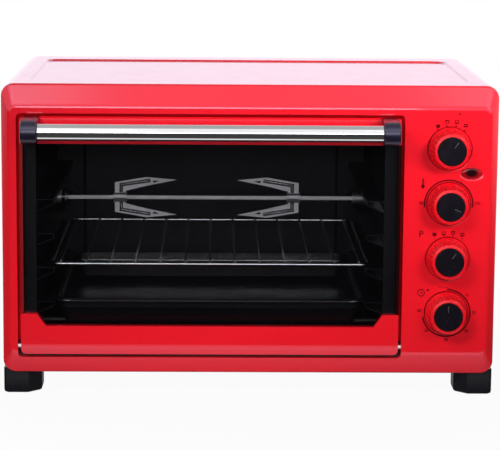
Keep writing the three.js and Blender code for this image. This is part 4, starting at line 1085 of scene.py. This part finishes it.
def inkSign(centre, x, z, kind):  # a small oven: a frame with bars for the rods that heat
    (wide, tall), line = printSizes["sign"], printSizes["signLine"]
    if kind == "full":
        return [inkBar(centre, x, z, wide, tall)]
    parts = []
    for side in (-1, 1):
        parts.append(inkBar(centre, x + side * (wide - line) / 2, z, line, tall))
        parts.append(inkBar(centre, x, z + side * (tall - line) / 2, wide - 2 * line, line))
    for level in signLevels[kind]:
        parts.append(inkBar(centre, x, z + level, wide - printSizes["signInset"], line))
    return parts


def makePrints():
    parts = []
    for name, marks in prints.items():
        centre = knobCentres[name]
        for angle in marks.get("dial", ()):
            turn, reach = math.radians(angle), printSizes["dialReach"]
            parts.append(inkDot(centre, reach * math.sin(turn), reach * math.cos(turn), printSizes["dialDot"]))
        for x, z, kind in marks.get("signs", ()):
            parts += inkSign(centre, x, z, kind)
        for key, maker in (("arcs", inkArc), ("labels", inkLabel), ("bars", inkBar), ("dots", inkDot)):
            parts += [maker(centre, *mark) for mark in marks.get(key, ())]
    fixed(joined(*parts), finishes["printed_ink"], "housing").name = "panel_printing"


# Painted shade: a dark red ring on the floor of each knob's seat, where the gap round the skirt lies in shade.
def makeSeatRings():
    radius, width = ringSizes["radius"], ringSizes["width"]
    seats = joined(*(inkArc(centre, 0, 0, radius, width, 0, 360) for centre in knobCentres.values()))
    edit(seats)
    bpy.ops.transform.translate(value=(0, (frontSizes["pocketDepth"] - ringSizes["sink"]) * mm, 0))
    leave()
    fixed(seats, finishes["knob_ring_shade_enamel"], "housing").name = "knob_seat_shade_rings"


# Pointers: raised marks on the caps, their pale ink partly a painted glint along each ridge.
def makePointers():
    for name, angle in pointers.items():
        face = span(name + "_knob_cap")[0].y
        width, length = pointerSizes["width"], pointerSizes["length"]
        line = inkBar(knobCentres[name], 0, pointerSizes["middle"], width, length, angle, face)
        line.name = name + "_pointer"
        fixed(line, finishes["pointer_glint_ink"], bodyOf[name + "_knob"])


makePrints()
makeSeatRings()
makePointers()
print("panel printed")

# Pilot lamp window: a low dome, as shares of the radius and depths
lensDome = [(0, 0), (0.7, 0.03), (0.88, 0.14), (0.97, 0.45), (1, 1.1), (1, 2), (0, 2)]
lensHalf = (11.1, 6.0)

window = oval("pilot_lens_piece", lensCentre, [(out, lensLow.y + deep) for out, deep in lensDome], lensHalf)
smooth(window)
place(window, finishes["red_lens"], "pilot_lens")

# Inside: liner, heating rods, rack, trays and spit
for part in ("front_flange", "left_wall", "right_wall", "roof", "floor", "rear_wall"):
    dressed("cavity_" + part, 0.3)
for part in ("lower_front", "lower_rear", "upper_front", "upper_rear"):
    dressed("element_" + part, 0.3, sharp=50)
for node in ("baking_tray", "crumb_tray"):
    dressed(node, 0.4, sharp=35)
dressed("spit_rod", 1.0, 3, 42)
for node in ("spit_drive_socket", "fork_thumbscrew_left", "fork_thumbscrew_right", "spit_bearing"):
    dressed(node, 0.2, sharp=42)

# Forks: pressed plates, each prong with a ribbed groove bent in an L
forkSizes = {
    "leg": [(-147.4, 201.5), (-147.4, 208.4), (-115.5, 213.4)],  # along the upper prong of the left fork
    "hub": 14,  # half the height between the prongs
    "marks": {
        # groove: a dark strip of painted shade on both faces of each prong; rib: a raised strip of smoother
        # steel along it
        "groove": {"width": 4.2, "lift": 0.06, "edge": 0.05, "finish": "groove_shade_steel"},
        "rib": {"width": 1.3, "lift": 0.35, "edge": 0.15, "finish": "wire_steel"},
    },
}


def strip(name, start, end, width, front, back):  # a straight bar in the plate's plane
    length = math.hypot(end[0] - start[0], end[1] - start[1]) + width
    middle = ((start[0] + end[0]) / 2, (start[1] + end[1]) / 2)
    low = (middle[0] - length / 2, front, middle[1] - width / 2)
    high = (middle[0] + length / 2, back, middle[1] + width / 2)
    bar = block(name, low, high)
    tilt = math.atan2(end[1] - start[1], end[0] - start[0])
    edit(bar)
    bpy.ops.transform.rotate(value=tilt, orient_axis="Y", center_override=at(middle[0], front, middle[1]))
    leave()
    return bar


def makeForks():
    left, right = span("spit_fork_left"), span("spit_fork_right")
    mirror = left[1].x + right[0].x
    centreZ = (left[0].z + left[1].z) / 2
    for side in ("left", "right"):
        node = "spit_fork_" + side
        dressed(node, 0, flat=False)
        points = [vertex.co for vertex in frame["nodes"][node].data.vertices]
        blade = [point.y for point in points if abs(point.z / mm - centreZ) > forkSizes["hub"]]
        front, back = ((depth - frontY) / mm for depth in (min(blade), max(blade)))
        for kind, mark in forkSizes["marks"].items():
            bars, lift = [], mark["lift"]
            for up in (1, -1):
                leg = []
                for x, z in forkSizes["leg"]:
                    leg.append((x if side == "left" else mirror - x, centreZ + up * (z - centreZ)))
                for ends in zip(leg, leg[1:]):
                    start, end = sorted(ends, key=lambda spot: spot[0])
                    bars.append(strip(kind, start, end, mark["width"], front - lift, back + lift))
            marks = joined(*bars)
            marks.name = f"fork_{kind}_{side}"
            soften(marks, mark["edge"], 2)
            fixed(marks, finishes[mark["finish"]], "spit")


makeForks()

# Wire rack: a rim rod bent round its corners with straight wires welded on top
rackSizes = {
    "rim": 2.25,
    "corner": 9,
    "wire": 1.3,
    "wireEdge": 0.7,
    "sink": 0.5,
    "wires": 13,
    "side": 12.9,
    "ends": 0.3,
}
beadSizes = {"radius": 0.9, "corner": 23, "step": (9.6, 9.3), "stepShare": 0.7}  # the step lies in and down


def bentRod(name, low, high, height, radius, corner):  # a rod bent into a rounded rectangle
    ends = (low.x + radius, high.x - radius, low.y + radius, high.y - radius)
    ring = outlineRing("z", (*ends, corner, height), steps=8)
    ring.name = name
    take(ring)
    bpy.ops.object.convert(target="CURVE")
    ring = bpy.context.object
    ring.data.bevel_depth = radius * mm
    ring.data.bevel_resolution = 4
    bpy.ops.object.convert(target="MESH")
    return bpy.context.object


def makeRack():
    size = rackSizes
    low, high = span("wire_rack")
    rimHeight = low.z + size["rim"]
    rim = bentRod("wire_rack_piece", low, high, rimHeight, size["rim"], size["corner"])
    wireHeight = rimHeight + size["rim"] + size["wire"] - size["sink"]
    first, last = low.x + size["side"], high.x - size["side"]
    ends = (low.y + size["ends"], high.y - size["ends"])
    wire = rod("wire", "y", (first, wireHeight), *ends, size["wire"], sides=16)
    wires = [soften(wire, size["wireEdge"], 3, 50)]
    for number in range(1, size["wires"]):
        wires.append(copied("wire", wires[0], ((last - first) * number / (size["wires"] - 1), 0, 0)))
    place(joined(smooth(rim), *wires), finishes["wire_steel"], "wire_rack")


def makeHighlightBeads():  # beads of bright wire steel follow the black tray's rim and inner step: their brightness is painted highlight
    low, high = span("baking_tray")
    radius, corner = beadSizes["radius"], beadSizes["corner"]
    inset, drop = beadSizes["step"]
    rim = bentRod("tray_highlight_edge", low, high, high.z - radius, radius, corner)
    low, high = low + Vector((inset, inset, 0)), high - Vector((inset, inset, drop))
    step = bentRod("step", low, high, high.z, radius * beadSizes["stepShare"], corner - inset)
    fixed(smooth(joined(rim, step)), finishes["wire_steel"], "tray")


makeRack()
makeHighlightBeads()
print("inside dressed")

# Motor, lamp, supply, and what the knobs turn
fittings = ["rotisserie_motor", "pilot_lamp", "supply_gland", "terminal_block"]
fittings += ["heating_switch", "thermostat", "programme_switch", "timer_movement"]
fittings += [name + "_shaft" for name in knobCentres]
for node in fittings:
    dressed(node, 0.3, sharp=42)
print("controls dressed")


# Table, lamps and room, in metres
studio = {
    "floor": 40,
    "tableLevel": 1.1,  # what polished faces see of the table close in front of the oven
    "tableReach": (0.06, 0.18),  # over which it falls away in front
    "tableShade": (0.0, 0.07, 0.2),  # darker again where the oven shades it, and how dark
    "tableSides": (0.27, 0.34),
    "tableBack": (-0.5, -0.1),  # behind the oven it is plain paper again
    "farLevel": 0.05,
    "paper": 0.55,
    "paperGlow": 0.95,
    "glowReach": (0.3, 0.62),  # from the middle, over which the shadow on the paper fades out
    "fill": 0.2,
    "behind": (1.22, 1.1, 1.26),  # a faint lilac low behind the oven, in reflections
    "behindReach": (0.8, 0.95),
    "behindHeight": (0.4, 0.6),
    "ceiling": 0.45,
    "ceilingLean": (0.174, 0.985),  # the way back and up that it is measured along
    "ceilingReach": (0.788, 0.857),
    "softboxes": (
        {"across": (-0.55, -0.075), "up": (0.62, 1.16), "level": 1.75},
        {"across": (0.13, 0.8), "up": (0.62, 1.3), "level": 1.35},
    ),
    "softEdge": 0.03,
    "leastForward": 0.01,  # keeps the division clear of zero
}
lamps = {
    "left": {
        "place": (-0.435, -1.176, 0.82),
        "aim": (-0.031, -0.15, 0.028),
        "size": (0.35, 0.35),
        "power": 1.1,
        "spread": 51,
    },
    "right": {
        "place": (0.745, -1.05, 0.673),
        "aim": (0.414, -0.15, 0.594),
        "size": (0.35, 0.35),
        "power": 3.05,
        "spread": 58,
    },
    "front": {
        "place": (-0.05, -2.35, 0.62),
        "aim": (0, -0.15, 0.2),
        "size": (0.9, 0.35),
        "power": 6,
        "spread": 180,
    },
}


def lightPath(sheet):  # rays that see the backdrop, straight or through the glass, and reflected ones
    straight, glossy, through = (sheet.node("LightPath", output=number) for number in (0, 3, 6))
    return straight.math("MAXIMUM", through), glossy


# Polished faces see a painted table on the floor: a painted pool of light close in front of the oven, painted
# shadow where the oven shades it, and dark further out. Seen straight on, the paper is white over its own faint
# shadow.
def makeFloor():
    leave()
    bpy.ops.mesh.primitive_plane_add(size=studio["floor"], location=(0, 0, 0))
    floor = bpy.context.object
    floor.name = "floor"
    paper = Finish("floor_paper", roughness=0.9, specularIorLevel=0.0)
    paper.set("baseColor", rgb(*[studio["paper"]] * 3))
    x, y, _ = paper.split(paper.where())
    ahead = y * -1 + frontY
    start, end, shade = studio["tableShade"]
    near = paper.step(ahead, *studio["tableReach"], studio["tableLevel"], 0.0)
    near = near * paper.step(ahead, start, end, shade)
    near = near * paper.step(x.math("ABSOLUTE"), *studio["tableSides"], 1.0, 0.0) + studio["farLevel"]
    table = paper.between(paper.step(ahead, *studio["tableBack"], 1.0, 0.0), near, 1.0)
    background, glossy = lightPath(paper)
    grey = paper.node("CombineColor", None, {0: table, 1: table, 2: table})
    glow = paper.node("Emission", None, {"Color": paper.blend(background, grey, white)})
    shown = paper.step(paper.length(paper.where()), *studio["glowReach"], studio["paperGlow"], 1.0)
    paper.surface((background * shown).math("MAXIMUM", glossy), paper.own(), glow)
    floor.data.materials.append(paper.material)


def makeLamp(name, lampSizes):
    leave()
    bpy.ops.object.light_add(type="AREA", location=lampSizes["place"])
    lamp = bpy.context.object
    lamp.name = name + " lamp"
    lamp.data.shape = "RECTANGLE"
    lamp.data.size, lamp.data.size_y = lampSizes["size"]
    lamp.data.energy = lampSizes["power"]
    lamp.data.spread = math.radians(lampSizes["spread"])
    lamp.visible_glossy = name == "front"
    towards = Vector(lampSizes["aim"]) - Vector(lampSizes["place"])
    lamp.rotation_euler = towards.to_track_quat("-Z", "Y").to_euler()


def makeWorld():
    world = bpy.data.worlds.new("studio")
    bpy.context.scene.world = world
    world.use_nodes = True
    room = Sheet(world.node_tree)
    shade = room.tree.nodes["Background"]
    x, y, z = room.split(room.node("TexCoord", output=0))
    shown, glossy = lightPath(room)
    back = room.step(y, *studio["behindReach"]) * room.step(z, *studio["behindHeight"], 1.0, 0.0)
    tint = room.blend(back, white, rgb(*studio["behind"]))
    feed(room.tree, shade.inputs["Color"], room.blend(glossy, white, tint))
    leanY, leanZ = studio["ceilingLean"]
    reflected = room.step(y * leanY + z * leanZ, *studio["ceilingReach"], 1.0, studio["ceiling"])
    forward = (y * -1).math("MAXIMUM", studio["leastForward"])
    across, up = x.math("DIVIDE", forward), z.math("DIVIDE", forward)
    soft = studio["softEdge"]
    for box in studio["softboxes"]:
        inside = box["level"]
        for wire, (start, end) in ((across, box["across"]), (up, box["up"])):
            inside = inside * room.step(wire, start - soft, start + soft)
            inside = inside * room.step(wire, end - soft, end + soft, 1.0, 0.0)
        reflected = reflected + inside
    plain = (1 - shown.math("MAXIMUM", glossy)) * studio["fill"]
    feed(room.tree, shade.inputs["Strength"], shown.math("MAXIMUM", reflected * glossy) + plain)


makeFloor()
makeWorld()
for name, lampSizes in lamps.items():
    makeLamp(name, lampSizes)
bpy.context.scene.view_settings.view_transform = "Standard"
print("studio set")
